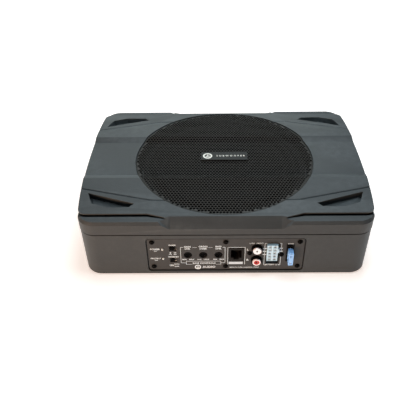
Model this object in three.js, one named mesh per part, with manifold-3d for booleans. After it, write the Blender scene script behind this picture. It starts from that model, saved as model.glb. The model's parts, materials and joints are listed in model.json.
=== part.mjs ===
// Under-seat powered car subwoofer: a low amplified box with an 8-inch driver facing up.
// Millimetres, +X right, +Y towards the back, +Z up. Solids are drawn about the box's middle with
// z = 0 just under the control panel, and the whole group is lifted so that its feet rest at z = 0.
import * as THREE from 'three';
import { mergeVertices } from 'three/addons/utils/BufferGeometryUtils.js';
import { ConvexGeometry } from 'three/addons/geometries/ConvexGeometry.js';
import Module from 'manifold-3d';

const wasm = await Module();
wasm.setup();

// ---------------------------------------------------------------- driving dimensions
const GAP = 0.3;                 // clearance kept between touching pieces
const FUSE_REACH = 10.4;           // how far the fuse stands out of the front face

// lower case
const CASE_HALF_WIDTH = 164.7;
const CASE_HALF_DEPTH = 121.6;
const CASE_BOTTOM = -3.6;
const CASE_TOP = 56.7;
const CASE_EDGE = 1.2;           // chamfer round the underside
const CORNER_RADIUS = 20;
const WALL = 3;
const CASE_FLOOR = CASE_BOTTOM + WALL;
const FOOT_X = 135;
const FOOT_Y = 92;
const FOOT_STAND = 1.2;          // how far a foot stands out of the underside
const LIFT = FOOT_STAND - CASE_BOTTOM;

// top cover: a body of the case's outline under a wider plate
const COVER_HALF_WIDTH = 165;
const COVER_HALF_DEPTH = 122;
const COVER_BOTTOM = 58.2;
const LEDGE_Z = 75;              // rim of the cover's body in front of the plate
const RIM_CHAMFER_DEPTH = 2.5;
const RIM_CHAMFER_HEIGHT = 3.4;
const PLATE_HALF_WIDTH = 169;
const PLATE_HALF_DEPTH = 108;
const PLATE_CORNER_RADIUS = 9;
const PLATE_UNDERSIDE = 73.6;
const PLATE_BEND = [86.5, PLATE_HALF_DEPTH];   // where the plate's front edge starts to slant forwards
const PLATE_MERGE = [68, 113.8];               // where it runs out into the rim
const CHANNEL_WIDTH = 2.5;       // gap between the plate's edge and the rim
const CHANNEL_UNDERCUT = 2.5;    // how far that gap reaches under the plate
const CHANNEL_Z = [71.5, 75.9];
const CENTRE_BEVEL_HALF = 61;    // half-length of the deep bevel in the middle of an edge
const CENTRE_BEVEL_REACH = 24;   // from there to the far end of the ramp that closes it
const CENTRE_BEVEL_LOW = 66.3;

// corner pocket: its outline in the right back quarter and its depth
const POCKET = [[157.4, 73.2], [150.8, 91], [133, 97.9], [108, 97.2], [102.6, 91.8]];
const POCKET_MIDDLE = [132, 88.5];
const POCKET_SLOT = [[157.4, 73.2], [150.8, 91], [147.8, 92.1], [154.1, 75]];
const POCKET_DEPTH = 6.8;
const POCKET_SLOT_DEPTH = 8.2;

// cross-section of the top, as [distance from the centre line, height]
const VALLEY = [36, 77.7];       // foot of the shallow valley along the middle
const CREST = [45.5, 80.3];      // top edge of the valley's slope
const CREASE = [86.5, 78.8];     // crease that runs across plate and grille
const BROW = [112.5, 77.0];      // top edge of the front and back bevels

// grille and driver
const GRILLE_RADIUS = 110;
const GRILLE_INSET = 0.6;        // grille face below the plate face
const GRILLE_THICKNESS = 1.5;
const GRILLE_LEDGE = 2.6;
const BAFFLE_TOP = 62;
const BAFFLE_BOTTOM = 59;
const DRIVER_CUTOUT = 91.5;
const DRIVER_FLANGE_RADIUS = 103;
const DRIVER_BOLT_CIRCLE = 98.8;
const FLANGE_LOW = BAFFLE_TOP + 1.5;
const FLANGE_HIGH = FLANGE_LOW + 2;
const SPIDER_Z = 42.9;
const MAGNET_LOW = 14;
const MAGNET_HIGH = 29;
const YOKE_LOW = 8;
const TOP_PLATE_HIGH = 35.3;

// control panel in the front wall
const PANEL_HALF_WIDTH = 88.5;
const PANEL_LOW = 2.4;
const PANEL_HIGH = 50.4;
const PANEL_MIDDLE = (PANEL_LOW + PANEL_HIGH) / 2;
const PANEL_HALF_HEIGHT = (PANEL_HIGH - PANEL_LOW) / 2;
const PANEL_FRONT = -120.6;
const PANEL_THICKNESS = 2;
const PANEL_MARGIN = 1.3;        // clear gap round the panel in its seat
const PANEL_BACK = PANEL_FRONT + PANEL_THICKNESS;
const PANEL_SEAT = PANEL_BACK + GAP;
const LAND_BACK = -115.6;        // back of the thick wall that the panel screws into
const PANEL_SCREWS = [[-83, 46], [0, 46], [83, 46], [-83, 8], [0, 8], [83, 8]];
const CONNECTOR_SCREWS = [[27.3, 28.6], [63.5, 26.4]];
const LEDS = [['led_power', -71.7, 34.8], ['led_protect', -71.5, 20.2]];
const SWITCHES = [[-60, 36], [-59.7, 17.8]];
const SWITCH_SLOT = [3.8, 3.1];  // half-width and half-height
const SWITCH_TRAVEL = 3;
const POT_X = [-43.1, -25.6, -8.1];
const POT_Z = 25.6;
const POT_RADIUS = 4.1;
const RCA_X = 35.4;
const RCA_Z = [35.4, 18];
const RCA_FRONT = -125.7;
const JACK = { x0: 3.5, x1: 20.8, z0: 16, z1: 36.4 };
const HEADER = { x0: 46.6, x1: 58.7, z0: 19.2, z1: 42.9 };
const HEADER_RAMP = 1.6;         // latch ramp on the header's right side
const HEADER_SLOT = 7.2;         // opening left under the header for its plug's skirt
const FUSE = { x: 72.9, z: 28.7, height: 19.2, thickness: 5.4 };
const HOLDER = { x0: 69.1, x1: 77.1, z0: 15.6, z1: 41.4 };

const CASE_SCREW_X = 148;
const CASE_SCREW_Y = 105;
const BOARD_Z = 8;
const BOARD_TOP = BOARD_Z + 1.6;

// ---------------------------------------------------------------- shape helpers
const QUARTERS = [[-1, -1], [1, -1], [-1, 1], [1, 1]];
const FINE = 60;                 // sides of the grille and its opening
const PLAN = 14;                 // steps in each corner of the cover's and case's outline
const ROUND = 24;                // sides of the driver's turned parts
const KNOB = 16;                 // sides of knobs, sockets and feet
const SMALL = 10;                // sides of screws and their holes

// Position-only copy with shared corners, no slivers and its faces turned outwards.
function cleaned(geometry) {
  const bare = new THREE.BufferGeometry();
  bare.setAttribute('position', geometry.getAttribute('position').clone());
  if (geometry.index) bare.setIndex(geometry.index.clone());
  const merged = mergeVertices(bare, 1e-4);
  const source = merged.index.array;
  const kept = [];
  for (let i = 0; i < source.length; i += 3) {
    const [a, b, c] = [source[i], source[i + 1], source[i + 2]];
    if (a !== b && b !== c && c !== a) kept.push(a, b, c);
  }
  const p = merged.getAttribute('position');
  const [va, vb, vc] = [new THREE.Vector3(), new THREE.Vector3(), new THREE.Vector3()];
  let volume = 0;
  for (let i = 0; i < kept.length; i += 3) {
    va.fromBufferAttribute(p, kept[i]);
    vb.fromBufferAttribute(p, kept[i + 1]);
    vc.fromBufferAttribute(p, kept[i + 2]);
    volume += va.dot(vb.cross(vc));
  }
  if (volume < 0) kept.reverse();
  merged.setIndex(kept);
  return merged;
}

function solid(geometry) {
  const mesh = cleaned(geometry);
  return new wasm.Manifold(new wasm.Mesh({
    numProp: 3,
    vertProperties: new Float32Array(mesh.getAttribute('position').array),
    triVerts: new Uint32Array(mesh.index.array),
  }));
}

function fromSolid(body) {
  const mesh = body.getMesh();
  const geometry = new THREE.BufferGeometry();
  geometry.setAttribute('position', new THREE.BufferAttribute(new Float32Array(mesh.vertProperties), 3));
  geometry.setIndex([...mesh.triVerts]);
  return geometry;
}

const join = (first, ...others) => others.reduce((sum, body) => sum.add(body), first);
const cut = (first, ...others) => others.reduce((rest, body) => rest.subtract(body), first);

function outline(points) {
  return new THREE.Shape(points.map(([x, y]) => new THREE.Vector2(x, y)));
}

function extruded(shape, depth, options = {}) {
  return new THREE.ExtrudeGeometry(shape, { depth, bevelEnabled: false, curveSegments: 8, ...options });
}

// Prism over an XY outline.
function prismZ(shape, z0, z1) {
  return solid(extruded(shape, z1 - z0).translate(0, 0, z0));
}

// Prism along X over an outline drawn in (y, z).
function prismX(points, x0, x1) {
  const turn = new THREE.Matrix4().makeBasis(
    new THREE.Vector3(0, 1, 0), new THREE.Vector3(0, 0, 1), new THREE.Vector3(1, 0, 0));
  return solid(extruded(outline(points), x1 - x0).applyMatrix4(turn).translate(x0, 0, 0));
}

// Prism along Y over a shape drawn in (x, z).
function prismY(shape, y0, y1) {
  const turn = new THREE.Matrix4().makeBasis(
    new THREE.Vector3(1, 0, 0), new THREE.Vector3(0, 0, 1), new THREE.Vector3(0, -1, 0));
  return solid(extruded(shape, y1 - y0).applyMatrix4(turn).translate(0, y1, 0));
}

function block(x0, x1, y0, y1, z0, z1) {
  const box = new THREE.BoxGeometry(x1 - x0, y1 - y0, z1 - z0);
  return solid(box.translate((x0 + x1) / 2, (y0 + y1) / 2, (z0 + z1) / 2));
}

function rodZ(radius, z0, z1, x = 0, y = 0, sides = KNOB) {
  const rod = new THREE.CylinderGeometry(radius, radius, z1 - z0, sides).rotateX(Math.PI / 2);
  return solid(rod.translate(x, y, (z0 + z1) / 2));
}

function rodY(radius, y0, y1, x, z, sides = KNOB) {
  const rod = new THREE.CylinderGeometry(radius, radius, y1 - y0, sides);
  return solid(rod.translate(x, (y0 + y1) / 2, z));
}

// Body of revolution about +Z from [radius, height] points.
function turned(points, sides = ROUND) {
  const profile = points.map(([r, h]) => new THREE.Vector2(r, h));
  return solid(new THREE.LatheGeometry(profile, sides).rotateX(Math.PI / 2));
}

// Ring of revolution: the profile is closed on itself.
const ring = (points, sides) => turned([...points, points[0]], sides);

function convex(points) {
  return solid(new ConvexGeometry(points.map((p) => new THREE.Vector3(...p))));
}

function arc(cx, cy, radius, from, to, steps) {
  return Array.from({ length: steps + 1 }, (_, i) => {
    const angle = THREE.MathUtils.degToRad(from + (to - from) * i / steps);
    return [cx + radius * Math.cos(angle), cy + radius * Math.sin(angle)];
  });
}

function roundedRect(halfX, halfY, radius, cx = 0, cy = 0, steps = 6) {
  const x = halfX - radius;
  const y = halfY - radius;
  return outline([
    ...arc(cx + x, cy + y, radius, 0, 90, steps),
    ...arc(cx - x, cy + y, radius, 90, 180, steps),
    ...arc(cx - x, cy - y, radius, 180, 270, steps),
    ...arc(cx + x, cy - y, radius, 270, 360, steps),
  ]);
}

// Rounded box whose bottom and top edges are chamfered inwards.
function chamferedBlock(halfX, halfY, radius, z0, z1, size, height, segments) {
  return solid(extruded(roundedRect(halfX, halfY, radius, 0, 0, PLAN), z1 - z0 - 2 * height, {
    bevelEnabled: true,
    bevelSize: size,
    bevelOffset: -size,
    bevelThickness: height,
    bevelSegments: segments,
  }).translate(0, 0, z0 + height));
}

// ---------------------------------------------------------------- surfaces of the top
function topHeight(y) {
  const d = Math.abs(y);
  const stations = [[0, VALLEY[1]], VALLEY, CREST, CREASE, BROW, [200, BROW[1]]];
  for (let i = 1; i < stations.length; i += 1) {
    const [d0, z0] = stations[i - 1];
    const [d1, z1] = stations[i];
    if (d <= d1) return z0 + (z1 - z0) * (d - d0) / (d1 - d0);
  }
  return BROW[1];
}

// Everything above the top's cross-section, lowered by a given depth.
function aboveTop(lowered) {
  const stations = [BROW, CREASE, CREST, VALLEY];
  const left = stations.map(([d, z]) => [-d, z - lowered]);
  const right = stations.map(([d, z]) => [d, z - lowered]).reverse();
  const low = BROW[1] - lowered;
  return prismX([[-140, low], ...left, ...right, [140, low], [140, 110], [-140, 110]], -190, 190);
}

function plateEdgeX(y) {
  const t = y / 100;
  return PLATE_HALF_WIDTH - 4.0 * t ** 2 - 0.67 * t ** 4;
}

// One quarter of the plate's outline, from the side's middle to the edge's middle.
function plateQuarter() {
  const straight = PLATE_HALF_DEPTH - PLATE_CORNER_RADIUS;
  const side = Array.from({ length: 9 }, (_, i) => [plateEdgeX(straight * i / 9), straight * i / 9]);
  const corner = arc(plateEdgeX(straight) - PLATE_CORNER_RADIUS, straight, PLATE_CORNER_RADIUS, 0, 90, 6);
  return [...side, ...corner, PLATE_BEND, PLATE_MERGE, [CENTRE_BEVEL_HALF - 1, COVER_HALF_DEPTH]];
}

function plateOutline() {
  const quarter = plateQuarter();
  const back = [...quarter].reverse();
  return outline([
    ...quarter,
    ...back.map(([x, y]) => [-x, y]),
    ...quarter.slice(1).map(([x, y]) => [-x, -y]),
    ...back.slice(0, -1).map(([x, y]) => [x, -y]),
  ]);
}

// Channel between the plate's corner section and the rim. It opens out at the side and tapers
// to nothing where the plate's edge runs into the rim.
function edgeChannel(sx, sy) {
  const rim = PLATE_HALF_DEPTH + CHANNEL_WIDTH;
  const under = PLATE_HALF_DEPTH - CHANNEL_UNDERCUT;
  const corner = PLATE_HALF_DEPTH - PLATE_CORNER_RADIUS;
  const pivotX = plateEdgeX(corner) - PLATE_CORNER_RADIUS;
  const outside = PLATE_HALF_WIDTH + 3;
  const points = [
    [PLATE_BEND[0] + 1, rim],
    [pivotX - 2, rim],
    [pivotX + 5, rim - 1],
    [outside, rim - 6],
    [outside, corner - 2],
    ...arc(pivotX, corner, PLATE_CORNER_RADIUS - CHANNEL_UNDERCUT, 0, 90, 4),
    [PLATE_BEND[0] - 1, under],
    [PLATE_MERGE[0] - 1.5, PLATE_MERGE[1] - 1.2],
    [PLATE_MERGE[0] - 2.5, PLATE_MERGE[1] + 1],
  ];
  return prismZ(outline(points.map(([x, y]) => [sx * x, sy * y])), ...CHANNEL_Z);
}

// Deep bevel in the middle of the front or back edge, with a ramp at each end.
function centreBevel(sy) {
  const [browY, browZ] = BROW;
  const lowY = COVER_HALF_DEPTH + 0.9;
  const lowZ = CENTRE_BEVEL_LOW - 1;
  const points = [];
  for (const sx of [-1, 1]) {
    const near = CENTRE_BEVEL_HALF * sx;
    const far = (CENTRE_BEVEL_HALF + CENTRE_BEVEL_REACH) * sx;
    points.push([near, sy * browY, browZ], [near, sy * lowY, lowZ], [near, sy * 135, 60]);
    points.push([far, sy * browY, browZ + 8], [far, sy * (lowY + 7), lowZ + 12], [far, sy * 135, 100]);
  }
  return convex(points);
}

// Steep-walled recess of an outline grown by a margin, its floor a given depth below the plate.
function recess(points, sx, sy, margin, depth) {
  const corners = [];
  for (const [x, y] of points) {
    const [dx, dy] = [x - POCKET_MIDDLE[0], y - POCKET_MIDDLE[1]];
    const length = Math.hypot(dx, dy);
    const wide = (margin + 0.4) / length;
    const narrow = (margin - 0.5) / length;
    corners.push([sx * (x + dx * wide), sy * (y + dy * wide), CREST[1] + 4]);
    corners.push([sx * (x + dx * narrow), sy * (y + dy * narrow), topHeight(y) - depth]);
  }
  return convex(corners);
}

function pocket(sx, sy, wall = 0) {
  return join(
    recess(POCKET, sx, sy, wall, POCKET_DEPTH + wall),
    recess(POCKET_SLOT, sx, sy, wall, POCKET_SLOT_DEPTH + wall));
}

// Shallow V-shaped accent line along one straight stretch of the plate.
function accentLine(from, to, depth, halfWidth) {
  const [dx, dy] = [to[0] - from[0], to[1] - from[1]];
  const length = Math.hypot(dx, dy);
  const [nx, ny] = [-dy / length, dx / length];
  const rise = 2;
  const reach = halfWidth * (depth + rise) / depth;
  const points = [];
  for (const [x, y] of [from, to]) {
    const z = topHeight(y);
    points.push([x, y, z - depth]);
    points.push([x + nx * reach, y + ny * reach, z + rise], [x - nx * reach, y - ny * reach, z + rise]);
  }
  return convex(points);
}

function accentLines(sx, sy) {
  const stops = [[175, 62.6], [85, 86], [62, CREASE[0]]];
  return stops.slice(1).map((stop, i) => accentLine(
    [sx * stops[i][0], sy * stops[i][1]], [sx * stop[0], sy * stop[1]], 1.1, 1.2));
}

// ---------------------------------------------------------------- cover, case and trim
function topCover() {
  const body = chamferedBlock(COVER_HALF_WIDTH, COVER_HALF_DEPTH, CORNER_RADIUS,
    40, LEDGE_Z, RIM_CHAMFER_DEPTH, RIM_CHAMFER_HEIGHT, 1);
  const plate = prismZ(plateOutline(), PLATE_UNDERSIDE, 82);
  let shell = cut(join(body, plate), aboveTop(0), block(-190, 190, -140, 140, 30, COVER_BOTTOM));
  shell = cut(shell, centreBevel(-1), centreBevel(1));

  // hollow inside, stepped down along the rim and left thick under the pockets
  const low = COVER_BOTTOM - 1;
  let cavity = join(
    prismZ(roundedRect(COVER_HALF_WIDTH - WALL, 105, 4), low, 73.6),
    prismZ(roundedRect(COVER_HALF_WIDTH - WALL, COVER_HALF_DEPTH - 3.5, 17), low, 66));
  for (const [sx, sy] of QUARTERS) {
    const boss = rodZ(4.8, low - 1, 70, sx * CASE_SCREW_X, sy * CASE_SCREW_Y);
    cavity = cut(cavity, pocket(sx, sy, 2.5), boss);
  }
  cavity = cut(cavity, rodZ(GRILLE_RADIUS + 3.7, BAFFLE_BOTTOM, 90, 0, 0, FINE));
  shell = cut(shell, cavity);

  // pan that carries the driver, with a ledge that carries the grille
  const mouth = rodZ(GRILLE_RADIUS + 0.7, BAFFLE_TOP, 90, 0, 0, FINE).intersect(aboveTop(GRILLE_LEDGE));
  shell = cut(shell, mouth,
    rodZ(GRILLE_RADIUS - 2.5, BAFFLE_TOP, 90, 0, 0, FINE),
    rodZ(DRIVER_CUTOUT, 50, 70, 0, 0, FINE));
  for (const [x, y] of boltCircle()) shell = cut(shell, rodZ(1.9, 50, 70, x, y, SMALL));

  for (const [sx, sy] of QUARTERS) {
    shell = cut(shell, edgeChannel(sx, sy), pocket(sx, sy), ...accentLines(sx, sy));
    shell = cut(shell, rodZ(1.8, 50, 67, sx * CASE_SCREW_X, sy * CASE_SCREW_Y, SMALL));
  }
  return shell;
}

function grille() {
  const disc = rodZ(GRILLE_RADIUS, 60, 90, 0, 0, FINE);
  return cut(disc, aboveTop(GRILLE_INSET)).intersect(aboveTop(GRILLE_INSET + GRILLE_THICKNESS));
}

function badgePlate() {
  const seat = VALLEY[1] - GRILLE_INSET + GAP;
  return prismZ(roundedRect(29, 8.5, 1.5, 0, 2, 3), seat, seat + 1.6);
}

function boltCircle() {
  const offset = DRIVER_BOLT_CIRCLE * Math.SQRT1_2;
  return QUARTERS.map(([sx, sy]) => [sx * offset, sy * offset]);
}

// The case's plan outline moved inwards.
function caseOutline(inset) {
  return roundedRect(CASE_HALF_WIDTH - inset, CASE_HALF_DEPTH - inset, CORNER_RADIUS - inset, 0, 0, PLAN);
}

function lowerCase() {
  const outer = chamferedBlock(CASE_HALF_WIDTH, CASE_HALF_DEPTH, CORNER_RADIUS, CASE_BOTTOM, 90,
    CASE_EDGE, CASE_EDGE, 2);
  const inner = prismZ(caseOutline(WALL), CASE_FLOOR, 100);
  let tub = cut(outer, inner, block(-190, 190, -140, 140, CASE_TOP, 100));
  tub = join(tub, block(-92, 92, -CASE_HALF_DEPTH + 1, LAND_BACK, CASE_BOTTOM + 1.5, CASE_TOP));

  const below = CASE_BOTTOM - 1;
  for (const x of [-80, 80]) {
    for (const y of [-105, -68]) tub = join(tub, rodZ(3, CASE_FLOOR - 1, BOARD_Z - GAP, x, y, SMALL));
  }
  for (const [sx, sy] of QUARTERS) {
    const [x, y] = [sx * CASE_SCREW_X, sy * CASE_SCREW_Y];
    tub = cut(join(tub, rodZ(5, CASE_FLOOR - 1, CASE_TOP, x, y)),
      rodZ(1.9, below, 60, x, y, SMALL),
      rodZ(3.9, below, CASE_BOTTOM + 2.7, x, y),
      rodZ(8.3, below, CASE_BOTTOM + 1.3, sx * FOOT_X, sy * FOOT_Y));
  }

  // seat for the control panel and the window behind it
  const seat = roundedRect(PANEL_HALF_WIDTH + PANEL_MARGIN, PANEL_HALF_HEIGHT + PANEL_MARGIN, 4,
    0, PANEL_MIDDLE, 4);
  const window = roundedRect(79.2, 16.15, 2, 0, 27.65, 3);
  tub = cut(tub, prismY(seat, -130, PANEL_SEAT), prismY(window, -130, -110));
  for (const [x, z] of PANEL_SCREWS) tub = cut(tub, rodY(1.9, -130, -110, x, z, SMALL));
  return tub;
}

function foot(sx, sy) {
  const [x, y] = [sx * FOOT_X, sy * FOOT_Y];
  return join(
    rodZ(8, CASE_BOTTOM - FOOT_STAND / 2, CASE_BOTTOM + 1, x, y),
    rodZ(7.4, CASE_BOTTOM - FOOT_STAND, CASE_BOTTOM, x, y));
}

function coverSeal() {
  const outer = caseOutline(2);
  const band = prismZ(outer, CASE_TOP + GAP, COVER_BOTTOM - GAP);
  return cut(band, prismZ(caseOutline(WALL), 50, 70));
}

// Cross-shaped driving slot about the z axis.
function crossSlot(reach, halfWidth, z0, z1) {
  return join(
    block(-reach, reach, -halfWidth, halfWidth, z0, z1),
    block(-halfWidth, halfWidth, -reach, reach, z0, z1));
}

function caseScrew(sx, sy) {
  const face = CASE_BOTTOM + 0.3;
  const head = CASE_BOTTOM + 2.4;
  const screw = turned([[0, face], [3.5, face], [3.5, head], [1.5, head], [1.5, 66], [0, 66.8]], SMALL);
  return cut(screw, crossSlot(2.2, 0.45, CASE_BOTTOM - 1, face + 1.1))
    .translate([sx * CASE_SCREW_X, sy * CASE_SCREW_Y, 0]);
}

// ---------------------------------------------------------------- control panel
function rectPath(x0, x1, z0, z1) {
  return roundedRect((x1 - x0) / 2, (z1 - z0) / 2, 0.4, (x0 + x1) / 2, (z0 + z1) / 2, 2);
}

function controlPanel() {
  const shape = roundedRect(PANEL_HALF_WIDTH, PANEL_HALF_HEIGHT, 3, 0, PANEL_MIDDLE, 4);
  let plate = prismY(shape, PANEL_FRONT, PANEL_BACK);
  const window = (x0, x1, z0, z1) => prismY(rectPath(x0 - GAP, x1 + GAP, z0 - GAP, z1 + GAP), -125, -115);
  const hole = (radius, x, z, sides) => rodY(radius, -125, -115, x, z, sides);
  plate = cut(plate,
    window(JACK.x0, JACK.x1, JACK.z0, JACK.z1),
    window(HEADER.x0, HEADER.x1 + HEADER_RAMP, HEADER.z0 - HEADER_SLOT, HEADER.z1),
    window(HOLDER.x0, HOLDER.x1, HOLDER.z0, HOLDER.z1));
  for (const [x, z] of PANEL_SCREWS) plate = cut(plate, hole(1.9, x, z, SMALL));
  for (const [x, z] of CONNECTOR_SCREWS) plate = cut(plate, hole(1.9, x, z, SMALL));
  for (const [, x, z] of LEDS) plate = cut(plate, hole(1.7, x, z, SMALL));
  const [halfX, halfZ] = SWITCH_SLOT;
  for (const [x, z] of SWITCHES) plate = cut(plate, window(x - halfX, x + halfX, z - halfZ, z + halfZ));
  for (const x of POT_X) plate = cut(plate, hole(POT_RADIUS + 0.7, x, POT_Z, KNOB));
  for (const z of RCA_Z) plate = cut(plate, hole(6.6, RCA_X, z, KNOB));
  return plate;
}

// Cross-head screw driven along +Y; its head stands on the panel's face.
function panelScrew(x, z, headRadius, tip) {
  const seat = PANEL_FRONT - GAP;
  const profile = [[0, tip], [1.5, tip], [1.5, seat], [headRadius, seat],
    [headRadius, seat - 1.2], [headRadius * 0.62, seat - 2.1], [0, seat - 2.3]];
  const screw = turned(profile.map(([r, y]) => [r, -y]), SMALL);
  return cut(screw, crossSlot(1.7, 0.4, -seat + 0.9, 130)).rotate([90, 0, 0]).translate([x, 0, z]);
}

function led(x, z) {
  const lens = new THREE.SphereGeometry(1.3, 12, 8).translate(x, PANEL_FRONT - 0.2, z);
  return join(rodY(1.3, PANEL_FRONT - 0.2, -116.5, x, z, SMALL), solid(lens),
    rodY(2.2, PANEL_BACK + GAP, -116.5, x, z, SMALL));
}

function switchHousing(x, z) {
  const front = PANEL_BACK + GAP;
  const [halfX, halfZ] = SWITCH_SLOT;
  const box = block(x - halfX - 1.6, x + halfX + 1.6, front, front + 6, z - halfZ - 1.4, z + halfZ + 1.4);
  return cut(box, block(x - halfX, x + halfX, front - 1, front + 3.2, z - halfZ, z + halfZ));
}

// The slider rests at the left end of its slot.
function switchSlider(x, z) {
  const back = PANEL_BACK + GAP + 2.9;
  const left = x - SWITCH_SLOT[0] + 0.3;
  const halfZ = SWITCH_SLOT[1] - 0.3;
  const shoe = block(left, left + 4, PANEL_BACK + GAP + 1, back, z - halfZ, z + halfZ);
  const knob = block(left, left + 4, PANEL_FRONT - 0.8, back, z - halfZ, z + halfZ - 1.6);
  const notch = block(left + 1.6, left + 2.4, PANEL_FRONT - 2, PANEL_FRONT - 0.3, z - 4, z + 4);
  return cut(join(shoe, knob), notch);
}

function potBody(x) {
  const front = PANEL_BACK + GAP;
  const box = block(x - 4.9, x + 4.9, front, front + 11, POT_Z - 5.6, POT_Z + 6);
  return cut(box, rodY(POT_RADIUS + 0.3, front - 1, front + 3.2, x, POT_Z));
}

function potShaft(x) {
  const front = PANEL_FRONT + 0.2;
  const knob = rodY(POT_RADIUS, front, PANEL_BACK + GAP + 2.9, x, POT_Z);
  return cut(knob,
    block(x - 0.55, x + 0.55, front - 1, front + 1.2, POT_Z - 3, POT_Z + 3),
    block(x - 3, x + 3, front - 1, front + 1.2, POT_Z - 0.55, POT_Z + 0.55));
}

function remoteJack() {
  const face = PANEL_FRONT - 0.6;
  const middle = (JACK.x0 + JACK.x1) / 2;
  const body = block(JACK.x0, JACK.x1, face, -104, JACK.z0, JACK.z1);
  return cut(body,
    block(middle - 6.2, middle + 6.2, face - 1, face + 12, JACK.z0 + 5.6, JACK.z1 - 2.7),
    block(middle - 3.2, middle + 3.2, face - 1, face + 12, JACK.z0 + 3, JACK.z0 + 6.4));
}

function rcaHousing() {
  const front = PANEL_BACK + GAP;
  let body = block(RCA_X - 6.1, RCA_X + 6.1, front, -101, RCA_Z[1] - 6.1, RCA_Z[0] + 6.4);
  for (const z of RCA_Z) body = join(body, rodY(6.1, RCA_FRONT + 1.3, front + 1, RCA_X, z));
  for (const z of RCA_Z) body = cut(body, rodY(5.1, -130, front + 2, RCA_X, z));
  return body;
}

function rcaRing(z) {
  const tube = rodY(4.8, RCA_FRONT, PANEL_BACK + GAP + 1.7, RCA_X, z);
  return cut(tube, rodY(1.7, -135, -120.5, RCA_X, z, SMALL));
}

function powerHeader() {
  const face = PANEL_FRONT - 3.5;
  const [width, height] = [HEADER.x1 - HEADER.x0, HEADER.z1 - HEADER.z0];
  let body = block(HEADER.x0, HEADER.x1, face, -106, HEADER.z0, HEADER.z1);
  for (let row = 0; row < 5; row += 1) {
    for (const side of [-1, 1]) {
      const x = HEADER.x0 + width * (0.5 + side * 0.235);
      const z = HEADER.z0 + height * (row + 0.5) / 5;
      body = cut(body, block(x - 1.7, x + 1.7, face - 1, face + 8, z - 1.55, z + 1.55));
    }
  }
  const ramp = block(HEADER.x1 - 0.5, HEADER.x1 + HEADER_RAMP, face + 0.4, PANEL_FRONT - GAP, 31.3, 37.3);
  return join(body, ramp);
}

function fuseHolder() {
  const face = PANEL_FRONT - 1;
  let body = block(HOLDER.x0, HOLDER.x1, face, -103, HOLDER.z0, HOLDER.z1);
  for (const side of [-1, 1]) {
    const z = FUSE.z + side * 5.9;
    body = cut(body, block(FUSE.x - 0.75, FUSE.x + 0.75, face - 1, -107, z - 3, z + 3));
  }
  return body;
}

function fuse() {
  const back = PANEL_FRONT - 1 - GAP;
  const front = -COVER_HALF_DEPTH - FUSE_REACH;
  const halfT = FUSE.thickness / 2;
  const halfH = FUSE.height / 2;
  const side = [[-halfH + 0.8, front], [halfH - 0.8, front], [halfH, front + 1], [halfH, front + 7.5],
    [halfH - 1.6, back], [-halfH + 1.6, back], [-halfH, front + 7.5], [-halfH, front + 1]];
  let body = prismX(side.map(([z, y]) => [y, FUSE.z + z]), FUSE.x - halfT, FUSE.x + halfT);
  for (const s of [-1, 1]) {
    const window = block(FUSE.x + s * halfT - 0.5, FUSE.x + s * halfT + 0.5, front + 3, back - 2.5,
      FUSE.z - halfH + 4, FUSE.z + halfH - 4);
    body = cut(body, window);
    const z = FUSE.z + s * 5.9;
    body = join(body, block(FUSE.x - 0.35, FUSE.x + 0.35, back - 1, -110, z - 2.6, z + 2.6));
  }
  return body;
}

// ---------------------------------------------------------------- driver
function driverGasket() {
  const band = ring([[93.5, BAFFLE_TOP + GAP], [DRIVER_FLANGE_RADIUS, BAFFLE_TOP + GAP],
    [DRIVER_FLANGE_RADIUS, FLANGE_LOW - GAP], [93.5, FLANGE_LOW - GAP]]);
  return cut(band, ...boltCircle().map(([x, y]) => rodZ(1.9, 50, 80, x, y, SMALL)));
}

function basket() {
  let frame = ring([
    [27.5, 35.6], [56.5, 35.6], [56.5, 39.5], [67, 39.5], [90.7, 58], [90.7, FLANGE_LOW],
    [DRIVER_FLANGE_RADIUS, FLANGE_LOW], [DRIVER_FLANGE_RADIUS, FLANGE_HIGH], [88.5, FLANGE_HIGH],
    [88.5, 59], [66, 41.5], [54.5, 41.5], [54.5, 37.6], [27.5, 37.6],
  ]);
  for (let i = 0; i < 6; i += 1) {
    const window = block(64, 95, -24, 24, 43.5, 56).rotate([0, 0, 60 * i + 30]);
    frame = cut(frame, window);
  }
  return cut(frame, ...boltCircle().map(([x, y]) => rodZ(1.9, 50, 80, x, y, SMALL)));
}

function surround() {
  const lip = FLANGE_HIGH + GAP;
  const skin = lip + 0.7;
  const roll = (radius, from, to) => arc(83.6, lip + 0.4, radius, from, to, 4).slice(1, -1);
  return ring([
    [75, lip], [79, lip], ...roll(4.2, 180, 0), [88, lip], [95, lip],
    [95, skin], [88.8, skin], ...roll(5.1, 0, 180), [78.4, skin], [75, skin],
  ]);
}

function cone() {
  const rim = FLANGE_HIGH - 0.1;
  return ring([[25.8, 44], [73.6, rim - 1.2], [78.5, rim - 1.2], [78.5, rim], [73, rim], [25.8, 45.2]]);
}

function dustCap() {
  const top = arc(0, -28.0, 82.6, 68, 90, 4);
  const under = arc(0, -28.0, 81.6, 90, 68, 4);
  return turned([...under, ...top]);
}

function voiceCoil() {
  const former = 24.5;
  const sleeve = 25.4;
  const winding = 26.1;
  return ring([[former, 22], [sleeve, 22], [sleeve, 24], [winding, 24], [winding, 38], [sleeve, 38],
    [sleeve, 46.2], [former, 46.2]]);
}

// Corrugated fabric ring between the former and the basket's shelf.
function spider() {
  const steps = 6;
  const wave = (i) => SPIDER_Z + 0.6 * (-1) ** i;
  const lower = Array.from({ length: steps + 1 }, (_, i) => [26.6 + 36 * i / steps, wave(i) - 0.3]);
  const upper = lower.map(([r, h]) => [r, h + 0.7]).reverse();
  return ring([...lower, ...upper]);
}

function topPlate() {
  const low = MAGNET_HIGH + GAP;
  return ring([[26.8, low], [54, low], [54, TOP_PLATE_HIGH], [26.8, TOP_PLATE_HIGH]]);
}

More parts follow.
